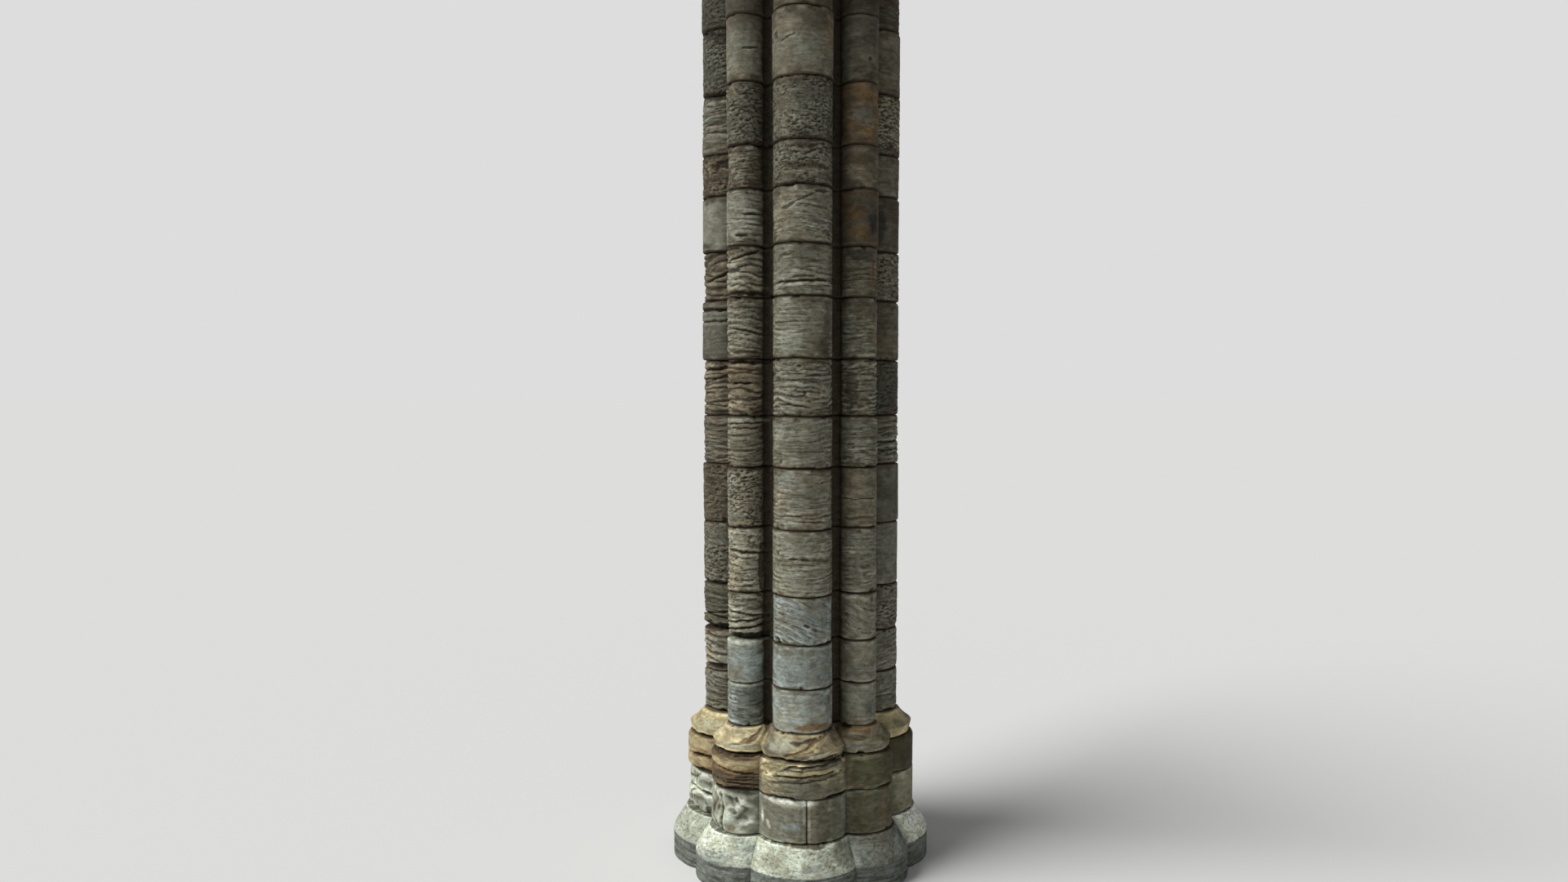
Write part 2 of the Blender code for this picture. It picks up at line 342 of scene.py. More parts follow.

# Marks listed for the stones of one course and lobe. Each is how far across the lobe it lies as seen
# from the front (-1 to 1) and how far up the course (0 to 1), then the half width, the half height and
# the depth in millimetres, the tint with its strength, and the slope where it isn't level.
Mark = namedtuple("Mark", "across level half_width half_height depth tint strength slope", defaults=[0.0])
# Umber marks cut in deeply paint their gaps, cracks and grooves dark, as dirt and painted shade
MARKS = {
    ("footing", FRONT): (
        (-0.5, 0.75, 60, 26, 0, "buff", 0.4),
        (0.75, 0.80, 90, 60, 0, "grey", 0.8),
        (0.15, 0.66, 60, 16, 0, "blue", 0.6),
        (0.1, 0.99, 120, 9, 4, "brown", 0.9),
    ),
    ("footing", FRONT_LEFT): (
        (0.1, 0.80, 50, 14, 0, "blue", 0.6),
    ),
    ("plinth_course_lower", FRONT): (
        (-0.42, 0.95, 110, 13, 6, "chalk", 1.0),
        (0.08, 0.94, 40, 14, 5, "chalk", 1.0),
        (-0.86, 0.54, 11, 34, 5, "chalk", 1.0),
        (-0.74, 0.37, 15, 15, 4, "chalk", 0.9, -0.9),
        (-0.25, 0.42, 70, 24, 0, "blue", 0.8),
        (-0.05, 0.55, 12, 60, 0, "brown", 0.5),
        (0.42, 0.5, 44, 150, 2, "brown", 0.55),
        (0.22, 0.45, 16, 130, 0, "buff", 0.75),
        (0.70, 0.5, 50, 150, 2, "olive", 0.8),
        (0.0, 0.0, 200, 8, 8, "umber", 0.8),
        (-0.97, 0.72, 16, 40, 26, "umber", 0.9),
    ),
    ("plinth_course_lower", FRONT_LEFT): (
        (-0.72, 0.45, 9, 110, 40, "umber", 1.0, 0.12),
        (-0.95, 0.6, 26, 60, 0, "buff", 0.6),
        # Painted shade: a dark band under the course above
        (0.1, 0.96, 120, 14, 20, "slate", 0.9),
        # Painted shade in the creases between the lumps
        (0.45, 0.55, 34, 46, 4, "grey", 0.5, 0.5),
        (0.0, 0.46, 60, 22, 3, "grey", 0.6, 0.3),
        (-0.38, 0.50, 30, 15, 5, "grey", 0.6, -0.2),
        (0.85, 0.50, 34, 120, 4, "grey", 0.7),
        # Painted highlight on the lumps
        (-0.15, 0.70, 36, 16, 0, "chalk", 0.8, 0.5),
        (0.0, 0.28, 50, 18, 0, "chalk", 0.7),
        (0.25, 0.16, 70, 26, 4, "grey", 0.8),
        (-0.40, 0.13, 22, 18, 0, "buff", 0.9),
        (0.97, 0.5, 18, 120, 30, "umber", 0.9),
    ),
    ("plinth_course_lower", LEFT): (
        (-0.5, 0.86, 60, 20, 0, "chalk", 0.5),
        (-0.5, 0.50, 130, 10, 26, "umber", 0.9, -0.1),
        (-0.45, 0.08, 40, 22, 26, "umber", 0.8),
        (-0.4, 0.22, 50, 20, 6, "grey", 0.7),
        (-0.4, 0.74, 30, 16, 8, "grey", 0.5),
    ),
    ("plinth_course_lower", FRONT_RIGHT): (
        (0.0, 1.0, 240, 12, 2, "pale", 0.45, 0.05),
        (0.7, 0.5, 22, 150, 0, "ochre", 0.35),
    ),
    ("plinth_course_lower", RIGHT): (
        (0.6, 1.0, 300, 9, 2, "grey", 0.7),
    ),
    ("plinth_course_upper", FRONT): (
        (-0.65, 0.84, 80, 34, 16, "tan", 0.6, 0.40),
        (-0.50, 0.74, 50, 7, 5, "brown", 0.7, 0.45),
        (0.30, 0.93, 170, 10, 16, "umber", 0.7, 0.05),
        (0.20, 0.84, 190, 9, 8, "olive", 0.7, 0.05),
        (0.0, 0.74, 170, 10, 0, "tan", 0.9, 0.04),
        (0.05, 0.65, 190, 6, 14, "umber", 0.9, 0.05),
        (0.15, 0.56, 200, 12, 6, "brown", 0.6, 0.12),
        (0.2, 0.60, 110, 5, 6, "tan", 0.7, 0.06),
        (0.1, 0.50, 200, 4, 9, "umber", 0.7, 0.10),
        (0.1, 0.24, 320, 52, 0, "olive", 0.85),
        (-0.80, 0.30, 40, 34, 4, "tan", 0.4, -0.9),
        (-0.45, 0.02, 90, 10, 18, "umber", 1.0, -0.05),
        (0.75, 0.03, 80, 10, 14, "umber", 0.9),
    ),
    ("plinth_course_upper", FRONT_LEFT): (
        (0.0, 0.76, 300, 24, 0, "tan", 0.8),
        (0.3, 0.62, 70, 10, 0, "ochre", 0.6),
        (0.0, 0.28, 300, 40, 6, "brown", 0.75),
        (0.1, 0.50, 220, 5, 14, "umber", 0.8, -0.10),
        (0.3, 0.40, 130, 4, 12, "umber", 0.8, 0.05),
        (-0.2, 0.30, 130, 4, 12, "umber", 0.7, 0.02),
        (0.0, 0.19, 250, 5, 14, "umber", 0.8, -0.05),
        (0.0, 0.04, 300, 11, 26, "umber", 0.9),
    ),
    ("plinth_course_upper", LEFT): (
        (-0.5, 0.80, 300, 26, 0, "tan", 0.7),
        (-0.5, 0.48, 300, 11, 34, "umber", 0.9, 0.05),
        (-0.5, 0.28, 300, 18, 0, "tan", 0.5),
        (-0.5, 0.04, 300, 12, 28, "umber", 0.9),
    ),
    ("plinth_course_upper", FRONT_RIGHT): (
        (0.0, 0.93, 220, 9, 0, "buff", 0.5),
    ),
    ("base_moulding", FRONT): (
        (-0.55, 0.62, 80, 34, 0, "pale", 0.45),
        (0.05, 0.50, 150, 15, 9, "ochre", 0.75, 0.36),
        (0.05, 0.46, 120, 6, 0, "tan", 0.9, 0.36),
        # Painted shade in the broken hollow under the top
        (-0.17, 0.72, 34, 9, 9, "umber", 0.75),
        (0.20, 0.80, 75, 6, 6, "brown", 0.8, 0.12),
        # Painted shade in a hole
        (0.52, 0.90, 12, 8, 9, "umber", 1.0),
        (0.85, 0.60, 34, 20, 2, "brown", 0.5),
        (-0.20, 0.10, 60, 12, 14, "buff", 0.7, 0.30),
        # Painted highlight on the top of a jutting wedge, then painted shadow under it
        (0.36, 0.28, 95, 8, 0, "chalk", 0.6, 0.14),
        (0.36, 0.08, 130, 7, 14, "umber", 0.9, 0.05),
        # Painted shadow under the lip
        (-0.60, 0.06, 36, 6, 20, "umber", 0.9),
    ),
    ("base_moulding", FRONT_LEFT): (
        (0.50, 0.74, 60, 12, 5, "brown", 0.6, 0.35),
        (0.05, 0.56, 70, 12, 4, "ochre", 0.6, 0.25),
        (0.1, 0.36, 150, 11, 0, "pale", 0.8),
        # Painted shadow under the lip
        (0.0, 0.02, 300, 11, 16, "umber", 0.9),
    ),
    ("base_moulding", LEFT): (
        (-0.5, 0.55, 120, 26, 0, "pale", 0.3),
        # Painted shadow under the lip
        (-0.4, 0.02, 300, 12, 18, "umber", 0.9),
    ),
    ("base_moulding", FRONT_RIGHT): (
        (-0.1, 0.66, 70, 12, 4, "brown", 0.6),
        (0.0, 0.90, 200, 12, 2, "ochre", 0.7),
        (0.1, 0.28, 120, 14, 0, "blue", 0.4),
    ),
    ("shaft_course_01", FRONT): (
        (0.36, 0.14, 104, 17, 0, "ochre", 1.0, 0.02),
        (-0.2, 0.92, 170, 10, 2, "grey", 0.7),
        (0.85, 0.55, 26, 80, 0, "slate", 0.4),
        (0.35, 0.45, 60, 70, 0, "buff", 0.3),
    ),
    ("shaft_course_01", FRONT_LEFT): (
        (0.0, 0.97, 170, 10, 0, "pale", 0.6),
        (0.3, 0.30, 70, 16, 3, "buff", 0.35, -0.3),
    ),
    ("shaft_course_01", FRONT_RIGHT): (
        (0.55, 0.40, 22, 50, 0, "slate", 0.7, 0.4),
        (0.0, 0.08, 130, 14, 2, "buff", 0.6),
    ),
    ("shaft_course_01", LEFT): (
        (0.0, 0.0, 300, 12, 18, "umber", 0.9),
    ),
    ("shaft_course_02", FRONT_LEFT): (
        (0.1, 0.97, 170, 16, 0, "pale", 0.95),
    ),
    ("shaft_course_02", FRONT): (
        (-0.3, 0.86, 120, 18, 0, "slate", 0.35, 0.1),
    ),
    ("shaft_course_02", FRONT_RIGHT): (
        (0.3, 0.7, 70, 40, 0, "buff", 0.4),
    ),
    ("shaft_course_02", LEFT): (
        (0.0, 0.10, 300, 14, 30, "umber", 0.9),
        (0.3, 0.93, 160, 18, 0, "buff", 0.8, -0.3),
    ),
    ("shaft_course_03", FRONT_LEFT): (
        (0.1, 0.02, 240, 34, 38, "umber", 0.95),
        (0.0, 0.26, 240, 7, 18, "umber", 0.8, 0.12),
        (-0.2, 0.40, 240, 6, 15, "umber", 0.8, 0.10),
        (0.1, 0.55, 240, 6, 12, "umber", 0.7, -0.10),
    ),
    ("shaft_course_03", LEFT): (
        (0.0, 0.02, 300, 34, 40, "umber", 0.9),
        (0.0, 0.26, 300, 7, 18, "umber", 0.8, -0.1),
        (0.0, 0.42, 300, 6, 15, "umber", 0.8, 0.12),
    ),
    ("shaft_course_03", FRONT): (
        (0.12, 0.42, 15, 9, 6, "umber", 0.8, -0.2),
        (-0.85, 0.02, 40, 22, 18, "umber", 0.8, -0.6),
    ),
    ("shaft_course_03", FRONT_RIGHT): (
        (0.7, 0.85, 16, 24, 2, "brown", 0.8),
    ),
    ("shaft_course_04", FRONT_LEFT): (
        (0.2, 0.62, 150, 8, 15, "umber", 0.8, -0.08),
        (0.88, 0.4, 26, 130, 14, "brown", 0.7),
    ),
    ("shaft_course_04", FRONT): (
        (0.0, 0.53, 190, 26, 4, "brown", 0.35, 0.05),
        (-0.85, 0.66, 16, 12, 8, "brown", 0.8),
        (0.1, 0.56, 24, 9, 8, "umber", 0.6),
        (-0.35, 0.58, 26, 7, 8, "umber", 0.6),
    ),
    ("shaft_course_04", LEFT): (
        (0.0, 0.02, 300, 14, 16, "umber", 0.8),
    ),
    ("shaft_course_05", FRONT): (
        (-0.3, 0.24, 90, 4, 6, "brown", 0.6, 0.05),
        (0.3, 0.14, 100, 4, 6, "brown", 0.5, -0.03),
        (-0.4, 0.12, 60, 9, 0, "pale", 0.4),
        (-0.2, 0.30, 90, 8, 0, "pale", 0.35, 0.05),
        (-0.5, 0.78, 90, 50, 0, "blue", 0.3),
        (0.3, 0.85, 90, 30, 0, "buff", 0.5),
        (-0.85, 0.62, 20, 10, 4, "ochre", 0.6),
    ),
    ("shaft_course_05", FRONT_RIGHT): (
        (0.0, 0.48, 130, 3, 6, "umber", 0.7),
        (0.0, 0.62, 130, 22, 0, "buff", 0.6),
        (0.0, 0.16, 110, 6, 5, "brown", 0.7, 0.03),
    ),
    ("shaft_course_06", FRONT_LEFT): (
        (0.0, 0.86, 130, 4, 8, "umber", 0.8, 0.03),
        (-0.1, 0.76, 100, 4, 7, "umber", 0.7, 0.02),
        (0.0, 0.92, 200, 8, 0, "pale", 0.5),
    ),
    ("shaft_course_06", FRONT): (
        (0.85, 0.06, 12, 8, 6, "umber", 0.8),
        (-0.75, 0.15, 14, 10, 5, "brown", 0.8),
        (0.1, 0.33, 110, 3, 4, "brown", 0.5),
    ),
    ("shaft_course_06", RIGHT): (
        (0.0, 0.45, 300, 6, 11, "umber", 0.7, 0.03),
        (0.0, 0.30, 300, 6, 11, "umber", 0.7),
    ),
    ("shaft_course_07", FRONT_LEFT): (
        (-0.2, 0.58, 70, 6, 22, "umber", 0.95, 0.03),
        (0.0, 0.94, 200, 9, 22, "umber", 0.8),
        (-0.1, 0.80, 120, 16, 8, "ochre", 0.5, 0.1),
    ),
    ("shaft_course_07", LEFT): (
        (0.0, 0.86, 300, 9, 22, "umber", 0.9, 0.05),
        (0.0, 0.70, 300, 8, 18, "umber", 0.8, 0.08),
    ),
    ("shaft_course_07", FRONT): (
        (-0.15, 0.86, 12, 7, 7, "umber", 0.9),
        (-0.3, 0.63, 80, 4, 6, "brown", 0.6, 0.05),
        (0.05, 0.42, 14, 14, 9, "umber", 0.8),
        (-0.4, 0.19, 100, 5, 10, "umber", 0.7, -0.08),
        (-0.4, 0.10, 110, 14, 0, "pale", 0.3),
    ),
    ("shaft_course_07", FRONT_RIGHT): (
        (-0.5, 0.5, 50, 120, 5, "umber", 0.6),
        (0.1, 0.25, 60, 26, 5, "brown", 0.6),
    ),
    ("shaft_course_08", FRONT): (
        (0.5, 0.4, 80, 150, 0, "buff", 0.5),
        # Painted shade on this shaft's right side (brown and umber) and painted light on its left (pale)
        (0.85, 0.6, 40, 120, 0, "brown", 0.5),
        (-0.55, 0.25, 70, 80, 0, "pale", 0.3),
        (0.7, 0.12, 60, 50, 0, "brown", 0.9, -0.3),
        (0.8, 0.30, 44, 110, 0, "umber", 0.4),
        (-0.7, 0.58, 70, 4, 6, "umber", 0.7),
        (0.15, 0.5, 30, 60, 0, "slate", 0.35),
    ),
    ("shaft_course_08", FRONT_LEFT): (
        (0.3, 0.45, 130, 7, 12, "umber", 0.7, -0.15),
    ),
    ("shaft_course_08", FRONT_RIGHT): (
        (0.4, 0.82, 120, 50, 2, "brown", 0.75),
        (0.8, 0.68, 14, 22, 2, "soot", 0.8),
        (0.85, 0.45, 30, 70, 0, "ochre", 0.6),
    ),
    ("shaft_course_08", LEFT): (
        (0.0, 0.86, 300, 10, 20, "umber", 0.9),
        (0.0, 0.66, 300, 6, 12, "brown", 0.7),
    ),
    ("shaft_course_08", RIGHT): (
        (0.2, 0.6, 120, 70, 2, "soot", 0.4),
    ),
    ("shaft_course_09", FRONT): (
        (0.0, 0.28, 190, 8, 14, "umber", 0.85, 0.03),
        (0.0, 0.21, 190, 7, 0, "chalk", 0.35, 0.03),
        (0.0, 0.36, 70, 7, 6, "brown", 0.8, 0.04),
        (-0.6, 0.78, 34, 6, 3, "brown", 0.5, 0.1),
        (0.8, 0.7, 40, 70, 0, "buff", 0.6),
    ),
    ("shaft_course_09", FRONT_RIGHT): (
        (0.2, 0.80, 110, 30, 2, "soot", 0.75, -0.2),
        (0.8, 0.5, 40, 90, 0, "ochre", 0.4),
        (0.75, 0.55, 12, 50, 2, "brown", 0.8),
    ),
    ("shaft_course_09", FRONT_LEFT): (
        (-0.2, 0.80, 120, 9, 20, "umber", 0.8, 0.25),
        (0.0, 0.08, 160, 12, 24, "umber", 0.9),
    ),
    ("shaft_course_09", LEFT): (
        (0.1, 0.60, 200, 9, 20, "umber", 0.9, 0.3),
    ),
    ("shaft_course_09", RIGHT): (
        (-0.2, 0.52, 14, 14, 8, "umber", 0.8),
    ),
    ("shaft_course_10", FRONT): (
        (-0.5, 0.64, 44, 9, 5, "brown", 0.6, 0.32),
        (0.6, 0.88, 50, 10, 6, "umber", 0.6, 0.1),
        (0.1, 0.78, 60, 6, 4, "brown", 0.5, 0.35),
        (-0.2, 0.10, 120, 30, 0, "buff", 0.6),
    ),
    ("shaft_course_10", FRONT_LEFT): (
        (0.3, 0.56, 60, 9, 16, "umber", 0.9, 0.05),
        (-0.2, 0.18, 40, 9, 10, "umber", 0.8),
    ),
    ("shaft_course_10", FRONT_RIGHT): (
        (0.74, 0.42, 38, 76, 0, "soot", 1.0),
        (0.3, 0.7, 22, 16, 0, "brown", 0.7),
    ),
    ("shaft_course_10", RIGHT): (
        (0.25, 0.5, 40, 90, 0, "soot", 0.85),
    ),
    ("shaft_course_11", FRONT): (
        (0.1, 0.40, 130, 22, 7, "brown", 0.7),
        (0.1, 0.86, 70, 16, 4, "brown", 0.7),
    ),
    ("shaft_course_11", LEFT): (
        (0.2, 0.80, 160, 26, 12, "umber", 0.8, 0.2),
    ),
    ("shaft_course_12", FRONT): (
        (-0.7, 0.5, 70, 170, 0, "buff", 0.5),
    ),
    ("shaft_course_12", FRONT_LEFT): (
        (-0.5, 0.88, 60, 40, 0, "buff", 0.7),
    ),
    ("shaft_course_12", FRONT_RIGHT): (
        (0.2, 0.88, 120, 40, 0, "ochre", 0.3),
        (0.2, 0.45, 70, 60, 5, "grey", 0.6),
        (0.9, 0.4, 22, 120, 0, "ochre", 0.3),
    ),
    ("shaft_course_12", LEFT): (
        (0.0, 0.95, 200, 20, 16, "umber", 0.7),
        (0.0, 0.15, 200, 40, 0, "buff", 0.6),
    ),
    ("shaft_course_13", FRONT): (
        (0.45, 0.80, 110, 60, 0, "brown", 0.8),
        (-0.1, 0.45, 70, 60, 0, "pale", 0.25),
        (-0.5, 0.55, 44, 5, 4, "umber", 0.5, 0.25),
        (-0.9, 0.62, 26, 20, 6, "brown", 0.8),
        (0.9, 0.6, 34, 100, 0, "ochre", 0.4),
        (0.0, 0.05, 200, 26, 0, "buff", 0.6),
    ),
    ("shaft_course_13", FRONT_LEFT): (
        (0.0, 0.9, 200, 50, 0, "brown", 0.5),
        (0.3, 0.5, 50, 6, 5, "umber", 0.6, 0.1),
    ),
    ("shaft_course_13", FRONT_RIGHT): (
        (0.2, 0.97, 110, 9, 2, "grey", 0.5),
        (0.5, 0.35, 13, 12, 4, "soot", 0.85),
        (0.4, 0.8, 100, 70, 0, "soot", 0.4),
    ),
    ("shaft_course_13", LEFT): (
        (0.0, 0.80, 200, 30, 10, "umber", 0.7, -0.3),
    ),
    ("shaft_course_14", FRONT): (
        (0.4, 0.3, 120, 120, 0, "brown", 0.5),
    ),
    ("shaft_course_14", FRONT_RIGHT): (
        (0.3, 0.3, 100, 80, 2, "soot", 0.6),
    ),
    ("shaft_course_14", FRONT_LEFT): (
        (0.0, 0.1, 200, 40, 0, "brown", 0.6),
    ),
}

# Rows of shallow strokes, scratched into one stone
STROKE_ROWS = (0.64, 0.56, 0.47, 0.40)
STROKE_PLACES = (-0.92, -0.78, -0.60, -0.46, -0.34)
MARKS["shaft_course_06", FRONT_RIGHT] = tuple(
    (across, level + 0.02 * across, 6, 4, 2, "umber", 0.6, 0.5)
    for level in STROKE_ROWS
    for across in STROKE_PLACES
)

# Extra upright joints, as a share of a lobe's width from its left, on the plinth's lower course
UPRIGHT_JOINTS = {"plinth_course_lower": ((FRONT, 0.53), (FRONT_RIGHT, 0.80))}


# Noise

NOISE_SIDE = 256
NOISE_GAIN = 1.7
draws = np.random.default_rng(11)
SHUFFLE = draws.permutation(NOISE_SIDE)
GRADIENTS = draws.normal(size=(NOISE_SIDE, 3))
GRADIENTS /= np.linalg.norm(GRADIENTS, axis=1, keepdims=True)


def noise(points):
    """Smooth gradient noise of about -1 to 1 at an array of points."""
    cell = np.floor(points).astype(int)
    part = points - cell
    ease = part**3 * (part * (part * 6 - 15) + 10)
    total = np.zeros(points.shape[:-1])
    for corner in np.ndindex(2, 2, 2):
        at = cell + corner
        index = np.zeros(points.shape[:-1], int)
        for axis in range(3):
            index = SHUFFLE[(index + at[..., axis]) % NOISE_SIDE]
        weight = np.prod(np.where(corner, ease, 1 - ease), axis=-1)
        total += weight * np.sum(GRADIENTS[index] * (part - corner), axis=-1)
    return total * NOISE_GAIN


def fractal(points, octaves=3):
    total = 0.0
    for octave in range(octaves):
        total = total + noise(points * 2**octave + 17.3 * octave) / 2**octave
    return total / FRACTAL_SPREAD


def local_mean(field, rows, columns):
    """Average over a window of (2 * rows + 1) by (2 * columns + 1) values."""
    for axis, reach in ((0, rows), (1, columns)):
        pad = [(reach, reach) if a == axis else (0, 0) for a in (0, 1)]
        sums = np.cumsum(np.pad(field, pad, mode="edge"), axis=axis)
        sums = np.insert(sums, 0, 0.0, axis=axis)
        window = 2 * reach + 1
        size = field.shape[axis]
        ends = np.take(sums, range(window, window + size), axis=axis)
        field = (ends - np.take(sums, range(size), axis=axis)) / window
    return field


def smooth_step(value):
    value = np.clip(value, 0.0, 1.0)
    return value * value * (3 - 2 * value)


# Plan of a course


def facing(turn, distance=1.0):
    """Points at this distance from the axis, turned anticlockwise from the front."""
    return np.stack([np.sin(turn) * distance, -np.cos(turn) * distance], axis=-1)


def lobe_circles(plan, lobe, spread):
    """(ring, radius) of this lobe's circle and of its neighbours'."""
    main = (plan.reach - plan.main_radius, plan.main_radius + spread)
    minor = (plan.reach - plan.minor_set_back - plan.minor_radius, plan.minor_radius + spread)
    return (minor, main) if lobe % 2 else (main, minor)


def angle_at(ring, radius, reach):
    """Angle from a lobe's middle, seen from the axis, where its circle is this far out."""
    cosine = (ring**2 + reach**2 - radius**2) / (2 * ring * reach)
    return math.acos(max(-1.0, min(1.0, cosine)))


def lobe_edge(plan, lobe, spread):
    """(angle, distance) of the lobe's last point and the angle of its hollow's middle, from the axis."""
    own, other = lobe_circles(plan, lobe, spread)
    fillet = plan.reach - plan.fillet_set_back + spread
    low, high = fillet, own[0] + own[1]
    if angle_at(*own, low) + angle_at(*other, low) <= LOBE_ANGLE:
        own_angle = angle_at(*own, fillet)
        other_angle = angle_at(*other, fillet)
        return own_angle, fillet, (own_angle + LOBE_ANGLE - other_angle) / 2
    for _ in range(HALVINGS):
        middle = (low + high) / 2
        if middle < sum(other) and angle_at(*own, middle) + angle_at(*other, middle) > LOBE_ANGLE:
            low = middle
        else:
            high = middle
    angle = angle_at(*own, low)
    return angle, low, angle


class LobeLine:
    """One lobe's line in plan at one spread, from the middle of a hollow to the next."""

    def __init__(self, plan, lobe, spread):
        self.turn = lobe * LOBE_ANGLE
        self.ring, self.radius = lobe_circles(plan, lobe, spread)[0]
        edge_angle, self.fillet, self.hollow = lobe_edge(plan, lobe, spread)
        edge = facing(edge_angle, self.fillet) - facing(0.0, self.ring)
        self.half = math.atan2(edge[0], -edge[1])
        self.edge_angle = edge_angle
        self.strip = (self.hollow - edge_angle) * self.fillet
        self.length = 2 * (self.strip + self.half * self.radius)

    def places(self, shares):
        """Points, outward directions and their turns at these shares of the line's length."""
        along = (np.asarray(shares) - 0.5) * self.length
        bow = self.half * self.radius
        swing = np.clip(along / self.radius, -self.half, self.half)
        on_lobe = facing(self.turn, self.ring) + facing(self.turn + swing, self.radius)
        past = np.clip(np.abs(along) - bow, 0.0, None) * np.sign(along)
        sweep = self.turn + np.sign(along) * self.edge_angle + past / self.fillet
        on_fillet = facing(sweep, self.fillet)
        in_strip = np.abs(along) > bow
        points = np.where(in_strip[:, None], on_fillet, on_lobe)
        turns = self.turn + along / self.radius
        return points, turns, np.where(in_strip, 1.0, np.abs(swing) / self.half)


def steps_along(total, step):
    """Distances from 0 to total: close at both ends, where the edges are rounded, then even."""
    close = np.array([0.0, 0.0018, 0.0042, 0.0075, 0.0118])
    middle = np.linspace(close[-1], total - close[-1], max(2, round((total - 2 * close[-1]) / step)))
    return np.concatenate([close[:-1], middle, total - close[:-1][::-1]])


def along_profile(profile, distances):
    """(height, spread) at these distances along a profile, kept on its corners where one is near."""
    points = np.array(profile)
    marks = np.concatenate([[0.0], np.cumsum(np.linalg.norm(np.diff(points, axis=0), axis=1))])
    distances = np.array(distances)
    for mark in marks[1:-1]:
        distances[np.argmin(np.abs(distances - mark))] = mark
    return np.stack([np.interp(distances, marks, points[:, i]) for i in (0, 1)], axis=-1), marks[-1]


# Weathering


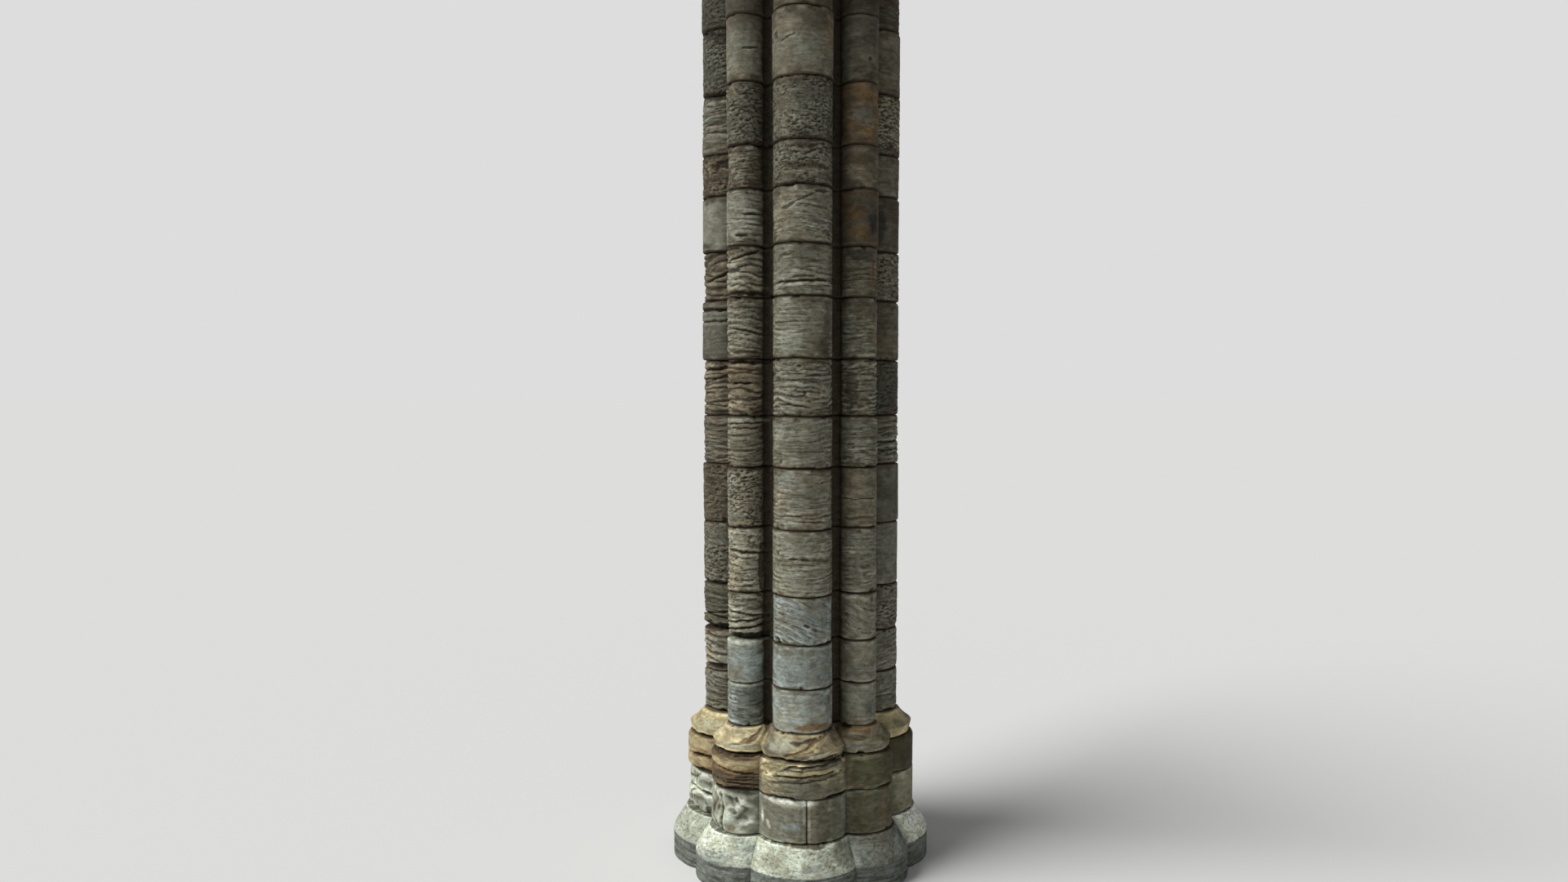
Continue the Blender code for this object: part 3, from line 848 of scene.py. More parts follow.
class Stone:
    """One stone of a course: what is random or tabled about it, then its surface and its colours."""

    def __init__(self, course, lobe, number):
        wear = bpy.context.scene.pier_wear
        rng = np.random.default_rng([wear.seed, number, lobe, len(course)])
        words = COURSES[course].split("|")[SEEN_LOBES.index(LIKE.get(lobe, lobe))].split()
        sloped = len(words) > 4
        self.course, self.lobe, self.number = course, lobe, number
        self.wear = wear
        self.style = Style(*WEAR_STYLES[words[0]])
        self.tint, self.second = words[1:3]
        self.slope = float(words[4]) if sloped else rng.normal(0.0, USUAL_SLOPE)
        self.strike = rng.uniform(-0.6, 0.6) if sloped else rng.uniform(0, math.tau)
        self.offset = rng.uniform(0, 90, 3)
        self.shade = SHADES[words[3]] * (1 + (rng.normal(0.0, 0.08) if lobe in LIKE else 0.0))
        self.inset = rng.uniform(0.0, 1.0)
        self.tilt = rng.uniform(-0.5, 0.5)
        self.marks = [Mark(*row) for row in MARKS.get((course, lobe), ())]

    def field(self, name, kind=noise):
        """Noise in patches of the size that FIELDS gives, over the stone's sound surface."""
        *size, start = FIELDS[name]
        return kind(self.place / size + self.offset + start)

    def beds(self, run, thick, start=0.0):
        """Noise drawn out along the beds: run is its length along them, thick its height."""
        x, y = self.place[..., 0], self.place[..., 1]
        drawn = np.stack([x / run, y / run, self.height / thick], axis=-1)
        return noise(drawn + self.offset + start)

    def lay_grid(self, plan, profile, start, end):
        """Sound surface from start to end, both counted in lobes, and where each of its points lies."""
        wear = self.wear
        coarser = wear.coarser if self.lobe in LIKE else 1.0
        whole = float(np.sum(np.linalg.norm(np.diff(np.array(profile), axis=0), axis=1)))
        levels, whole = along_profile(profile, steps_along(whole, wear.row * coarser))
        widest = LobeLine(plan, self.lobe, max(spread for _, spread in profile)).length * (end - start)
        columns = max(6, round(widest / (wear.column * coarser)))
        sizes = wear.row * coarser, wear.column * coarser
        self.window = [max(1, round((HOLLOW_WINDOW / size - 1) / 2)) for size in sizes]
        self.start, self.end = start, end
        self.rows, self.columns = len(levels) - 1, columns
        self.shares = np.linspace(start, end, columns + 1) - math.floor(start)
        self.place = np.empty((len(levels), columns + 1, 3))
        turns = np.empty((len(levels), columns + 1))
        self.sheltered = np.empty((len(levels), columns + 1))
        lines = {}
        for row, (height, spread) in enumerate(levels):
            if spread not in lines:
                lines[spread] = LobeLine(plan, self.lobe, spread).places(self.shares)
            self.place[row, :, :2], turns[row], self.sheltered[row] = lines[spread]
            self.place[row, :, 2] = height
        # Marks are placed as they are seen, so turns are within half a turn of the front
        self.turns = (turns + math.pi) % math.tau - math.pi
        self.outward = np.cross(np.gradient(self.place, axis=1), np.gradient(self.place, axis=0))
        self.outward /= np.linalg.norm(self.outward, axis=-1, keepdims=True)
        self.low, self.high = profile[0][0], profile[-1][0]
        self.level = (self.place[..., 2] - self.low) / (self.high - self.low)
        spread = float(np.mean(levels[:, 1]))
        self.radius = lobe_circles(plan, self.lobe, spread)[0][1]
        self.distance = np.concatenate([[0.0], np.cumsum(np.linalg.norm(np.diff(levels, axis=0), axis=1))])
        self.to_bed = np.minimum(self.distance, whole - self.distance)[:, None]
        self.find_sides(LobeLine(plan, self.lobe, spread).length)
        self.find_height()

    def find_sides(self, run):
        """Distance of each column from the stone's upright joints, on the faces and in the hollows."""
        self.to_side = np.full(self.columns + 1, FAR)
        self.to_hollow = np.full(self.columns + 1, FAR)
        for side in (self.start, self.end):
            away = np.abs(self.shares - (side - math.floor(self.start))) * run
            if side == int(side):
                self.to_hollow = np.minimum(self.to_hollow, away)
            else:
                self.to_side = np.minimum(self.to_side, away)

    def find_height(self):
        """Height of each point above the stone's bedding planes, which slope and swirl."""
        x, y, z = np.moveaxis(self.place, -1, 0)
        lean = x * math.cos(self.strike) + y * math.sin(self.strike)
        wander = self.field("wander")
        waver = self.field("waver")
        swirl = (WANDER * wander + WAVER * waver) * self.style.swirl
        self.height = z + self.slope * lean + swirl

    def weathering(self):
        """Depth of the stone's own weathering, in metres. Notes how far each point lies in a pit."""
        style = self.style
        thick = style.thick * MM
        depth = style.broad * (0.5 + 0.5 * self.field("swell"))
        fine = self.beds(0.12, 0.50 * thick) + 0.6 * self.beds(0.05, 0.30 * thick, 9)
        gusts = smooth_step(0.7 + 0.9 * self.field("gusts"))
        gusts *= 0.5 + 0.8 * smooth_step(1.1 - 1.2 * self.level)
        depth += style.combed * (0.3 + 0.7 * gusts) * (0.5 + 0.5 * fine)
        if style.ledge:
            stepped = np.tanh(3 * (self.beds(0.17, 0.85 * thick, 3) + 0.35 * fine))
            depth += style.ledge * (0.3 + 0.7 * gusts) * (0.5 + 0.5 * stepped)
        pitted = np.zeros(depth.shape)
        if style.pit:
            patch = smooth_step(0.8 + 1.1 * self.field("pitted"))
            holes = self.beds(0.034, 0.0105, 21) + 0.7 * self.beds(0.016, 0.0065, 23)
            pitted = patch * smooth_step((holes + 0.15) / 0.85)
            depth += style.pit * pitted
        if style.roll:
            groove = 1 - 2.6 * np.abs(self.beds(0.42, thick, 33) + 0.12 * fine)
            depth += style.roll * np.clip(groove, 0, 1) ** 1.6
        if style.lump:
            swell = self.field("lumps") + 0.1 * self.field("small lumps")
            crease = 1 - 3.6 * np.abs(self.field("creases"))
            depth += style.lump * (0.5 + 0.5 * np.tanh(2.2 * swell) + 0.3 * np.clip(crease, 0, 1) ** 2)
        self.holed = pitted * min(1.0, style.pit / FULL_PIT)
        return depth * MM

    def strength_of(self, mark, waver):
        """How strongly each point lies inside a mark's ragged oval, 0 to 1."""
        aside = self.radius * (self.turns - math.asin(max(-1.0, min(1.0, mark.across))))
        above = (self.level - mark.level) * (self.high - self.low) - mark.slope * aside + waver
        reach = np.hypot(aside / (mark.half_width * MM), above / (mark.half_height * MM))
        return smooth_step((1.40 - reach + 0.55 * self.ragged) / 0.7)

    def rounding(self, depth):
        """Size of the rounded edges at the bed joints: larger where the stone is worn or chipped."""
        wear = self.wear
        size = wear.arris * (1 + 0.45 * self.field("arris")) + 0.25 * local_mean(depth, *self.window)
        size += wear.chip * smooth_step((self.field("chips") - 0.28) / 0.35)
        size *= FOOTING_ROUNDING if self.course == "footing" else 0.85 + 0.08 * self.style.combed
        return size

    def erode(self):
        """Wears the sound surface inwards, and notes how deep and how strongly marked each point is."""
        wear = self.wear
        exposed = 1 - (1 - wear.shelter) * smooth_step((self.sheltered - 0.62) / 0.3)
        depth = self.weathering()
        depth *= wear.relief * exposed
        stood_back = self.inset + self.tilt * (self.level - 0.5)
        depth += wear.inset * stood_back * (1.0 if self.course in SHAFTS else 0.4)
        depth += (HOLLOW_DEPTH - depth) * smooth_step(1.15 - self.to_hollow / HOLLOW_REACH)[None, :]
        self.ragged = self.field("ragged", fractal)
        waver = 0.007 * self.field("mark edges", fractal)
        self.strengths = [self.strength_of(mark, waver) for mark in self.marks]
        cut = sum((m.depth * MM * s for m, s in zip(self.marks, self.strengths)), np.zeros_like(depth))
        cut *= exposed * (1 + 0.25 * self.ragged)
        arris = self.rounding(depth + cut)
        bend = np.clip(1 - self.to_bed / arris, 0, 1)
        depth += arris * (1 - np.sqrt(1 - np.minimum(bend, 0.999) ** 2))
        depth += SIDE_ROUNDING * smooth_step(1 - self.to_side / SIDE_REACH)[None, :]
        level_out = self.outward * (1.0, 1.0, 0.0)
        level_out /= np.linalg.norm(level_out, axis=-1, keepdims=True)
        worn = self.place - self.outward * depth[..., None] - level_out * cut[..., None]
        self.depth = depth + cut
        worn[..., 2] = np.clip(worn[..., 2], self.low, self.high)
        worn[0, :, 2] = self.low
        worn[-1, :, 2] = self.high
        reach = np.linalg.norm(worn[..., :2], axis=-1)
        turned = np.arctan2(worn[..., 0], -worn[..., 1])
        sound = np.arctan2(self.place[..., 0], -self.place[..., 1])
        for column, side, sign in ((0, self.start, 1), (-1, self.end, -1)):
            gap = HAIRLINE if side == int(side) else wear.joint
            turned[:, column] = sound[:, column] + sign * gap / reach[:, column]
        worn[..., :2] = facing(turned, reach)
        self.worn = worn

    def like_neighbours(self, colour, tints):
        """The colour, drawn towards the next stones' at the hollows."""
        for side, edge in ((-1, self.start), (1, self.end)):
            if edge != int(edge):
                continue
            beside = Stone(self.course, (self.lobe + side) % LOBES, self.number)
            shares = np.full(self.level.shape, 0.4)
            theirs = mix(tints[beside.tint], tints[beside.second], shares) * beside.shade
            near = np.abs(self.shares - (edge - math.floor(self.start)))[None, :] * 4 * self.radius
            blend = 0.5 * smooth_step(1 - near / NEIGHBOUR_REACH) * np.ones_like(self.level)
            colour = mix(colour, theirs, blend)
        return colour

    def stone_colour(self, tints):
        """The stone's two tints in patches and clouds, with its pits soiled and painted with shade, before
        the rest of the soiling and painted shade.
        """
        patches = 0.8 * self.field("patches", fractal) + 0.25 * self.beds(0.2, 0.03, 50)
        second = smooth_step(0.40 + 0.9 * patches)
        colour = mix(tints[self.tint], tints[self.second], second) * self.shade
        colour = colour * (1 + 0.24 * self.field("brightness"))[..., None]
        cloud = self.field("clouds", fractal)
        lighter = colour * (1 + 0.30 * np.maximum(-cloud, 0))[..., None]
        colour = mix(lighter, colour * RUSTY, 0.85 * smooth_step(cloud - 0.15))
        if self.course not in SHAFTS:
            colour = self.like_neighbours(colour, tints)
        # Pits are painted dark, as dirt and painted shade, and the shallow parts of pitted patches lighter,
        # as painted highlight
        pit_dirt_and_shade = 0.6 * tints["brown"]
        return mix(colour * (1 + 0.25 * smooth_step(self.holed * 4))[..., None], pit_dirt_and_shade, 0.8 * self.holed)

    def paint(self, tints):
        """Colour of each point: the stone, soiled and painted with shade in its cavities and hollows,
        painted highlight on its ridges, wet and painted with shade low on its upright faces, then the marks.
        """
        wear = self.wear
        z = self.place[..., 2]
        colour = self.stone_colour(tints)
        # Cavities are painted darker, as dirt and painted shade, and ridges lighter, as wear and painted
        # highlight
        hollow = self.depth - local_mean(self.depth, *self.window)
        dirt_and_shade = smooth_step(hollow / DIRT_AND_SHADE_RELIEF) * wear.cavity_dirt_and_shade
        higher = smooth_step((z - DARKER_FROM) / 2.5)
        line = 0.0070 + 0.0050 * higher * (1 + self.ragged)
        to_line = self.distance[:, None] if self.course in OPEN_TOPS else self.to_bed
        # Dark lines along the bed joints; at the base moulding's foot, under its lip, this is also painted
        # shadow
        dirt_and_shade = np.maximum(dirt_and_shade, 0.9 * smooth_step(1.4 - to_line / line))
        dirt_and_shade = np.maximum(dirt_and_shade, 0.9 * smooth_step(1.2 - self.to_side / 0.006)[None, :])
        if self.course in SHAFTS:
            # Painted shade in the hollows between the shafts, mixed in with the dirt
            dirt_and_shade = np.maximum(dirt_and_shade, 0.88 * smooth_step((self.sheltered - 0.82) / 0.16))
            spread_out = wear.grime_reach * (0.4 + 0.6 * higher)
            blots = self.field("blots", fractal)
            grime_and_hollow_shade = 1 - self.to_bed / spread_out + 1.2 * blots
            # Painted shade: the hollows between shafts are painted brown as well
            grime_and_hollow_shade = np.maximum(grime_and_hollow_shade, smooth_step((self.sheltered - 0.50) / 0.5) + 0.8 * blots - 0.2)
            colour = mix(colour, 0.75 * tints["brown"], wear.grime_and_hollow_shade * smooth_step(grime_and_hollow_shade))
        # Painted highlight and wear: ridges are painted lighter
        colour = colour * (1 + 0.60 * smooth_step(-hollow / DIRT_AND_SHADE_RELIEF))[..., None]
        # The dark mix paints dirt, dark joints and painted shade in cavities and hollows
        colour = mix(colour, 0.7 * tints["umber"] + 0.3 * tints["brown"], dirt_and_shade)
        # Damp and painted shade: upright faces near the ground are painted darker than the slopes
        upright = smooth_step(1 - self.outward[..., 2] / 0.30)
        damp = upright * smooth_step((DAMP_AND_SHADE_TO - z) / DAMP_AND_SHADE_FADE)
        wet_and_shaded = tints["damp"] * (1 + 0.9 * self.beds(0.15, 0.014, 95))[..., None]
        colour = mix(colour, wet_and_shaded, 0.93 * damp)
        for mark, strength in zip(self.marks, self.strengths):
            colour = mix(colour, tints[mark.tint], strength * mark.strength * (1 - 0.4 * dirt_and_shade))
        # Darker towards the top
        colour = colour * (1 - wear.sooty * smooth_step((z - DARKER_FROM) / 4.0))[..., None]
        self.colour = np.clip(colour, 0.0, 1.0)

    def put_points(self, mesh):
        """Moves the grid's points to the worn surface and behind it. Returns each one's row and column."""
        counts = np.empty(len(mesh.vertices) * 3)
        mesh.vertices.foreach_get("co", counts)
        counts = np.rint(counts.reshape(-1, 3)).astype(int)
        column, row, back = counts[:, 0], counts[:, 1], -counts[:, 2]
        put = self.worn[row, column]
        ends = self.worn[row][:, [0, -1], :2]
        ends *= 1 - RETURN / np.linalg.norm(ends, axis=-1, keepdims=True)
        chord = ends[:, 0] + (ends[:, 1] - ends[:, 0]) * (column / self.columns)[:, None]
        put[back == 1, :2] = chord[back == 1]
        middle = (self.start + self.end) / 2 * LOBE_ANGLE - LOBE_ANGLE / 2
        put[back == 2, :2] = facing(middle) * AXIS_ROOM
        put[:, 2] += settling(put, self.low, self.high) * self.wear.unsettled
        mesh.vertices.foreach_set("co", put.ravel())
        return put, row, column, back > 0

    def mesh(self, name, tints):
        """The stone as a closed mesh, with its tint, its bedding and its fine wear for the material."""
        shape = stone_shape(self.rows, self.columns)
        mesh = bpy.data.meshes.new(name)
        shape.to_mesh(mesh)
        shape.free()
        put, row, column, behind = self.put_points(mesh)
        rgba = np.ones((len(put), 4))
        rgba[:, :3] = self.colour[row, column]
        rgba[behind, :3] = BED_SHADE * tints["olive"]
        layer = mesh.color_attributes.new("tint", "FLOAT_COLOR", "POINT")
        layer.data.foreach_set("color", rgba.ravel())
        bedding = np.column_stack([put[:, :2], self.height[row, column]]) + self.offset
        fine_wear = np.tile((self.style.bedded, self.style.pocked, 0.0), len(put))
        for key, values in (("bedding", bedding.ravel()), ("worn", fine_wear)):
            layer = mesh.attributes.new(key, "FLOAT_VECTOR", "POINT")
            layer.data.foreach_set("vector", values)
        closed = bmesh.new()
        closed.from_mesh(mesh)
        bmesh.ops.remove_doubles(closed, verts=closed.verts, dist=SAME_POINT)
        bmesh.ops.recalc_face_normals(closed, faces=closed.faces)
        closed.to_mesh(mesh)
        closed.free()
        return mesh


def mix(a, b, share):
    return a + (b - a) * share[..., None]


def settling(points, low, high):
    """Rise and fall of a course's two bed joints, blended between them. The pier's ends stay flat."""
    waves = []
    for joint in (low, high):
        at = np.column_stack([points[:, :2] / 0.20, np.full(len(points), joint * 40)])
        waves.append(noise(at) if CAD_BOX[0].z + MM < joint < CAD_BOX[1].z - MM else np.zeros(len(points)))
    share = (points[:, 2] - low) / (high - low)
    return waves[0] + (waves[1] - waves[0]) * share


def stone_shape(rows, columns):
    """A grid with its rim drawn back twice, in counting space: column, row, and how far back."""
    shape = bmesh.new()
    bmesh.ops.create_grid(shape, x_segments=columns, y_segments=rows, size=0.5)
    bmesh.ops.translate(shape, verts=shape.verts, vec=(0.5, 0.5, 0.0))
    bmesh.ops.scale(shape, verts=shape.verts, vec=(columns, rows, 1.0))
    rim = [edge for edge in shape.edges if edge.is_boundary]
    for _ in range(2):
        drawn = bmesh.ops.extrude_edge_only(shape, edges=rim)["geom"]
        back = [item for item in drawn if isinstance(item, bmesh.types.BMVert)]
        bmesh.ops.translate(shape, verts=back, vec=(0.0, 0.0, -1.0))
        rim = [item for item in drawn if isinstance(item, bmesh.types.BMEdge) and item.is_boundary]
    return shape


# Courses


def spans_of(course):
    """(start, end) of the stones of a course, counted in lobes from the hollow left of the front."""
    spans = []
    extra = UPRIGHT_JOINTS.get(course, ())
    for lobe in range(LOBES):
        cuts = [lobe, *(lobe + share for at, share in extra if at == lobe), lobe + 1]
        spans += list(zip(cuts, cuts[1:]))
    return spans


def lay_course(course, profile, material):
    """A ring of stones that stands for one CAD course."""
    scene = bpy.context.scene
    tints = {name: np.array(getattr(scene.pier_tints, name)) for name in PierTints.__annotations__}
    first = sorted(COURSES).index(course) * LOBES
    stones = []
    for i, (start, end) in enumerate(spans_of(course)):
        stone = Stone(course, int(math.floor((start + end) / 2)) % LOBES, first + i)
        stone.lay_grid(scene.pier_plan, profile, start, end)
        stone.erode()
        stone.paint(tints)
        name = f"{course}_stone_{i:02d}"
        made = bpy.data.objects.new(name, stone.mesh(name, tints))
        scene.collection.objects.link(made)
        stones.append(made)
    ring = stones[0]
    with bpy.context.temp_override(active_object=ring, selected_editable_objects=stones):
        bpy.ops.object.join()
    ring.name = "weathered_" + course
    ring.data.name = ring.name
    ring.data.shade_smooth()
    ring.data.set_sharp_from_angle(angle=SHARP_ANGLE)
    ring.data.materials.clear()
    ring.data.materials.append(material)
    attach(ring, "root")
    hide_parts(course)
    return ring


# Materials


def node(tree, kind, place, **settings):
    made = tree.nodes.new(kind)
    made.location = place
    for key, value in settings.items():
        if key in made.inputs:
            made.inputs[key].default_value = value
        else:
            setattr(made, key, value)
    return made


def remapped(tree, source, place, from_range, to_range):
    made = node(tree, "ShaderNodeMapRange", place)
    for name, value in zip(("From Min", "From Max", "To Min", "To Max"), (*from_range, *to_range)):
        made.inputs[name].default_value = value
    tree.links.new(source, made.inputs["Value"])
    return made.outputs["Result"]


def combined(tree, operation, place, *sources):
    made = node(tree, "ShaderNodeMath", place, operation=operation)
    for source, socket in zip(sources, made.inputs):
        if isinstance(source, float):
            socket.default_value = source
        else:
            tree.links.new(source, socket)
    return made.outputs["Value"]


def drawn_noise(tree, coords, place, scale, detail, distortion=0.0):
    """Noise on coordinates that are scaled differently along the beds and across them."""
    mapping = node(tree, "ShaderNodeMapping", place, Scale=scale)
    tree.links.new(coords, mapping.inputs["Vector"])
    beside = (place[0] + 200, place[1])
    made = node(tree, "ShaderNodeTexNoise", beside, Scale=1.0, Detail=detail, Roughness=0.62)
    made.inputs["Distortion"].default_value = distortion
    tree.links.new(mapping.outputs["Vector"], made.inputs["Vector"])
    return made.outputs["Fac"]


def stone_material(name, speckle, bump, roughness):
    """Tinted stone with fine beds, small pits and grain. The mesh brings its tint, beds and wear."""
    material = bpy.data.materials.new(name)
    material.use_nodes = True
    tree = material.node_tree
    link = tree.links.new
    shader = tree.nodes["Principled BSDF"]
    on_mesh = {"attribute_type": "GEOMETRY"}
    tinted = node(tree, "ShaderNodeAttribute", (-900, 500), attribute_name="tint", **on_mesh)
    bedding = node(tree, "ShaderNodeAttribute", (-1700, 0), attribute_name="bedding", **on_mesh)
    worn = node(tree, "ShaderNodeAttribute", (-1300, 500), attribute_name="worn", **on_mesh)
    wear = node(tree, "ShaderNodeSeparateXYZ", (-1100, 500))
    link(worn.outputs["Vector"], wear.inputs["Vector"])
    layered, pitted = wear.outputs["X"], wear.outputs["Y"]
    along = bedding.outputs["Vector"]
    streak = drawn_noise(tree, along, (-1500, 0), (13.0, 13.0, 100.0), 5.0, 0.6)
    pits = drawn_noise(tree, along, (-1500, -300), (62.0, 62.0, 105.0), 3.0, 0.5)
    grain = drawn_noise(tree, along, (-1500, -600), (210.0, 210.0, 260.0), 3.0)
    blotch = drawn_noise(tree, along, (-1500, -900), (22.0, 22.0, 34.0), 6.0, 0.6)

    # The fine beds' heights also shade the colour: painted shade where they are low and painted highlight
    # where they are high, over the beds' own banding
    swing = combined(tree, "SUBTRACT", (-1000, 0), streak, 0.5)
    beds_up = combined(tree, "MULTIPLY", (-800, 0), swing, layered)
    streaked = combined(tree, "MULTIPLY_ADD", (-600, 0), beds_up, 1.50, 1.0)
    # Fine pits are painted darker, as dirt and painted shade, as well as bumped in
    holes = remapped(tree, pits, (-1000, -300), (0.54, 0.64), (0.0, 1.0))
    holed = combined(tree, "MULTIPLY", (-800, -300), holes, pitted)
    pocked = combined(tree, "MULTIPLY_ADD", (-600, -300), holed, -0.60, 1.0)
    grained = remapped(tree, grain, (-800, -600), (0.25, 0.75), (1.0 - speckle, 1.0 + speckle))
    blotched = remapped(tree, blotch, (-800, -900), (0.32, 0.68), (0.66, 1.34))
    shade = combined(tree, "MULTIPLY", (-400, 0), streaked, pocked)
    shade = combined(tree, "MULTIPLY", (-200, 0), shade, grained)
    shade = combined(tree, "MULTIPLY", (0, 0), shade, blotched)
    shaded = node(tree, "ShaderNodeVectorMath", (200, 300), operation="SCALE")
    link(tinted.outputs["Color"], shaded.inputs[0])
    link(shade, shaded.inputs["Scale"])
    warm = node(tree, "ShaderNodeMix", (400, 300), data_type="RGBA", blend_type="MULTIPLY")
    warm.inputs["B"].default_value = (1.0, 0.94, 0.83, 1.0)
    link(remapped(tree, blotch, (0, -300), (0.38, 0.60), (1.0, 0.0)), warm.inputs["Factor"])
    link(shaded.outputs["Vector"], warm.inputs["A"])
    link(warm.outputs["Result"], shader.inputs["Base Color"])

    rougher = remapped(tree, grain, (400, -100), (0.0, 1.0), (roughness - 0.08, roughness + 0.06))
    link(rougher, shader.inputs["Roughness"])
    shader.inputs["Specular IOR Level"].default_value = 0.25

    first = node(tree, "ShaderNodeBump", (0, -500), Strength=1.0, Distance=bump * 2.2)
    link(beds_up, first.inputs["Height"])
    second = node(tree, "ShaderNodeBump", (200, -500), Strength=1.0, Distance=bump)
    link(pocked, second.inputs["Height"])
    link(first.outputs["Normal"], second.inputs["Normal"])
    third = node(tree, "ShaderNodeBump", (400, -500), Strength=0.8, Distance=bump * 0.4)
    link(grain, third.inputs["Height"])
    link(second.outputs["Normal"], third.inputs["Normal"])
    link(third.outputs["Normal"], shader.inputs["Normal"])
    return material


# Operators


def span_of(course):
    low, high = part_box(course)
    return low.z, high.z, reach_of(course) - bpy.context.scene.pier_plan.reach


class PIER_OT_footing(bpy.types.Operator):
    """Lay the lichened footing with its sloping upper face"""

    bl_idname = "pier.footing"
    bl_label = "Footing"

    def execute(self, context):
        plan = context.scene.pier_plan
        low, high, spread = span_of("footing")
        ledge = span_of("plinth_course_lower")[2] + plan.ledge
        nose = high - plan.wash
        fall = (spread - ledge) / plan.wash
        profile = [
            (low, spread),
            (nose - plan.wash_nose / 2, spread),
            (nose + plan.wash_nose / 2, spread - fall * plan.wash_nose / 2),
            (high, ledge),
        ]
        material = stone_material("Lichened stone", 0.42, 0.0035, 0.92)
        lay_course("footing", profile, material)
        return {"FINISHED"}


class PIER_OT_plinth(bpy.types.Operator):
    """Lay the plinth's two courses of drums"""

    bl_idname = "pier.plinth"
    bl_label = "Plinth"

    def execute(self, context):
        rounding = context.scene.pier_plan.plinth_rounding
        material = stone_material("Bedded plinth stone", 0.20, 0.0035, 0.90)
        low, high, spread = span_of("plinth_course_lower")
        lay_course("plinth_course_lower", [(low, spread), (high, spread)], material)
        low, high, spread = span_of("plinth_course_upper")
        quarter = [math.pi / 2 * i / 6 for i in range(7)]
        rounded = [
            (high - rounding * (1 - math.sin(turn)), spread - rounding * (1 - math.cos(turn)))
            for turn in quarter
        ]
        lay_course("plinth_course_upper", [(low, spread), *rounded], material)
        return {"FINISHED"}


class PIER_OT_base(bpy.types.Operator):
    """Lay the base moulding, a hollow bell over an undercut lip"""

    bl_idname = "pier.base"
    bl_label = "Base moulding"

    def execute(self, context):
        plan = context.scene.pier_plan
        low, high, spread = span_of("base_moulding")
        shares = [i / 8 for i in range(9)]
        rise = high - low - plan.bell_edge
        bell = [
            (
                low + plan.bell_edge + rise * share,
                spread + (plan.bell_top - spread) * share - plan.bell_hollow * math.sin(share * math.pi),
            )
            for share in shares
        ]
        material = stone_material("Tan moulding stone", 0.22, 0.0035, 0.90)
        profile = [(low, spread - plan.bell_undercut), *bell]
        lay_course("base_moulding", profile, material)
        return {"FINISHED"}


class PIER_OT_shafts(bpy.types.Operator):
    """Lay the courses of the eight shafts, each with its own weathering"""

    bl_idname = "pier.shafts"
    bl_label = "Shafts"

    def execute(self, context):
        material = stone_material("Weathered shaft stone", 0.18, 0.0030, 0.90)
        for course in SHAFTS:
            low, high, spread = span_of(course)
            lay_course(course, [(low, spread), (high, spread)], material)
        return {"FINISHED"}


class PIER_OT_stage(bpy.types.Operator):
    """Set the pale floor, the soft light and the camera"""

    bl_idname = "pier.stage"
    bl_label = "Stage"

    def execute(self, context):
        stage = context.scene.pier_stage
        lay_floor(stage)
        light_scene(stage)
        place_camera(stage)
        return {"FINISHED"}


FLOOR_SIDE = 400.0
KEY_HEADING = (0.67, 0.23, -0.70)  # the way the main light shines


def lay_floor(stage):
    """A floor that reads as bright as the background where the light is open."""
    shape = bmesh.new()
    bmesh.ops.create_grid(shape, x_segments=1, y_segments=1, size=FLOOR_SIDE / 2)
    mesh = bpy.data.meshes.new("floor")
    shape.to_mesh(mesh)
    shape.free()
    floor = bpy.data.objects.new("floor", mesh)
    bpy.context.scene.collection.objects.link(floor)
    material = bpy.data.materials.new("Pale floor")
    material.use_nodes = True
    tree = material.node_tree
    shader = tree.nodes["Principled BSDF"]
    slant = -Vector(KEY_HEADING).normalized().z
    lit = stage.sky + stage.key * slant / math.pi
    level = min(0.95, stage.paper / lit)
    mottle = node(tree, "ShaderNodeTexNoise", (-500, 0), Scale=0.8, Detail=2.0)
    shades = node(tree, "ShaderNodeMapRange", (-300, 0))
    shades.inputs["To Min"].default_value = level * 0.995
    shades.inputs["To Max"].default_value = min(0.96, level * 1.005)
    tree.links.new(mottle.outputs["Fac"], shades.inputs["Value"])
    tree.links.new(shades.outputs["Result"], shader.inputs["Base Color"])
    shader.inputs["Roughness"].default_value = 1.0
    shader.inputs["Specular IOR Level"].default_value = 0.0
    mesh.materials.append(material)


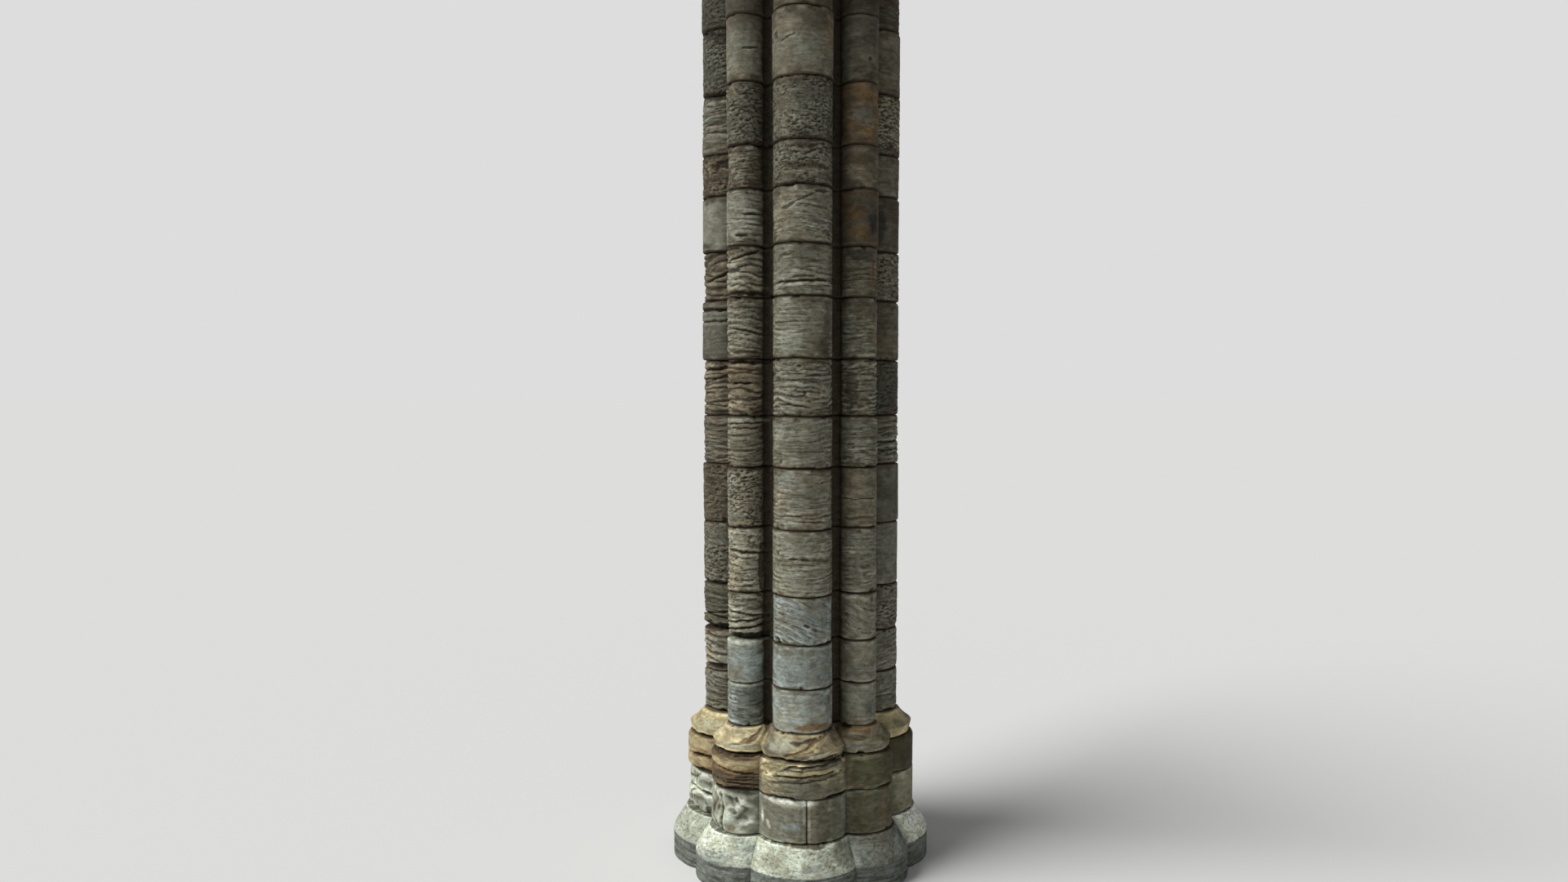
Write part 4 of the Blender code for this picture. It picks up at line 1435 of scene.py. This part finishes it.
def light_scene(stage):
    """An even pale sky and one broad light from the front left."""
    scene = bpy.context.scene
    world = bpy.data.worlds.new("Pale sky")
    scene.world = world
    world.use_nodes = True
    tree = world.node_tree
    light = tree.nodes["Background"]
    light.inputs["Color"].default_value = (1.0, 1.0, 1.0, 1.0)
    light.inputs["Strength"].default_value = stage.sky
    seen = node(tree, "ShaderNodeBackground", (0, -200), Strength=stage.paper)
    seen.inputs["Color"].default_value = (1.0, 1.0, 1.0, 1.0)
    path = node(tree, "ShaderNodeLightPath", (-200, 300))
    blend = node(tree, "ShaderNodeMixShader", (200, 100))
    tree.links.new(path.outputs["Is Camera Ray"], blend.inputs["Fac"])
    tree.links.new(light.outputs["Background"], blend.inputs[1])
    tree.links.new(seen.outputs["Background"], blend.inputs[2])
    tree.links.new(blend.outputs["Shader"], tree.nodes["World Output"].inputs["Surface"])
    sun = bpy.data.lights.new("key", "SUN")
    sun.energy = stage.key
    sun.angle = stage.key_spread
    sun.color = (1.0, 1.0, 0.98)
    key = bpy.data.objects.new("key", sun)
    key.rotation_euler = Vector(KEY_HEADING).to_track_quat("-Z", "Y").to_euler()
    scene.collection.objects.link(key)
    scene.view_settings.view_transform = "Standard"


def place_camera(stage):
    scene = bpy.context.scene
    data = bpy.data.cameras.new("photo_view")
    data.lens = stage.lens
    data.sensor_width = 36.0
    data.clip_end = 500.0
    camera = bpy.data.objects.new("photo_view", data)
    spot = facing(stage.azimuth, stage.distance)
    camera.location = (spot[0], spot[1], stage.height)
    camera.rotation_euler = (math.pi / 2 - stage.pitch, 0.0, stage.azimuth + stage.swing)
    scene.collection.objects.link(camera)
    scene.camera = camera


class PIER_PT_panel(bpy.types.Panel):
    """Lists the pier's sizes and the steps that build it"""

    bl_idname = "PIER_PT_panel"
    bl_label = "Weathered pier"
    bl_space_type = "VIEW_3D"
    bl_region_type = "UI"
    bl_category = "Pier"

    def draw(self, context):
        for step in STEPS:
            self.layout.operator(step.bl_idname)
        for group in GROUPS:
            box = self.layout.box()
            box.label(text=group)
            settings = getattr(context.scene, group)
            for key in settings.bl_rna.properties.keys():
                if key not in ("rna_type", "name"):
                    box.prop(settings, key)


STEPS = (PIER_OT_stage, PIER_OT_footing, PIER_OT_plinth, PIER_OT_base, PIER_OT_shafts)
GROUPS = {"pier_plan": PierPlan, "pier_wear": PierWear, "pier_tints": PierTints, "pier_stage": PierStage}
CLASSES = (*GROUPS.values(), *STEPS, PIER_PT_panel)


def register():
    for kind in CLASSES:
        bpy.utils.register_class(kind)
    for name, kind in GROUPS.items():
        setattr(bpy.types.Scene, name, bpy.props.PointerProperty(type=kind))


def unregister():
    for name in GROUPS:
        delattr(bpy.types.Scene, name)
    for kind in reversed(CLASSES):
        bpy.utils.unregister_class(kind)


def main():
    register()
    bpy.ops.pier.stage()
    bpy.ops.pier.footing()
    bpy.ops.pier.plinth()
    bpy.ops.pier.base()
    bpy.ops.pier.shafts()
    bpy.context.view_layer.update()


if __name__ == "__main__":
    main()
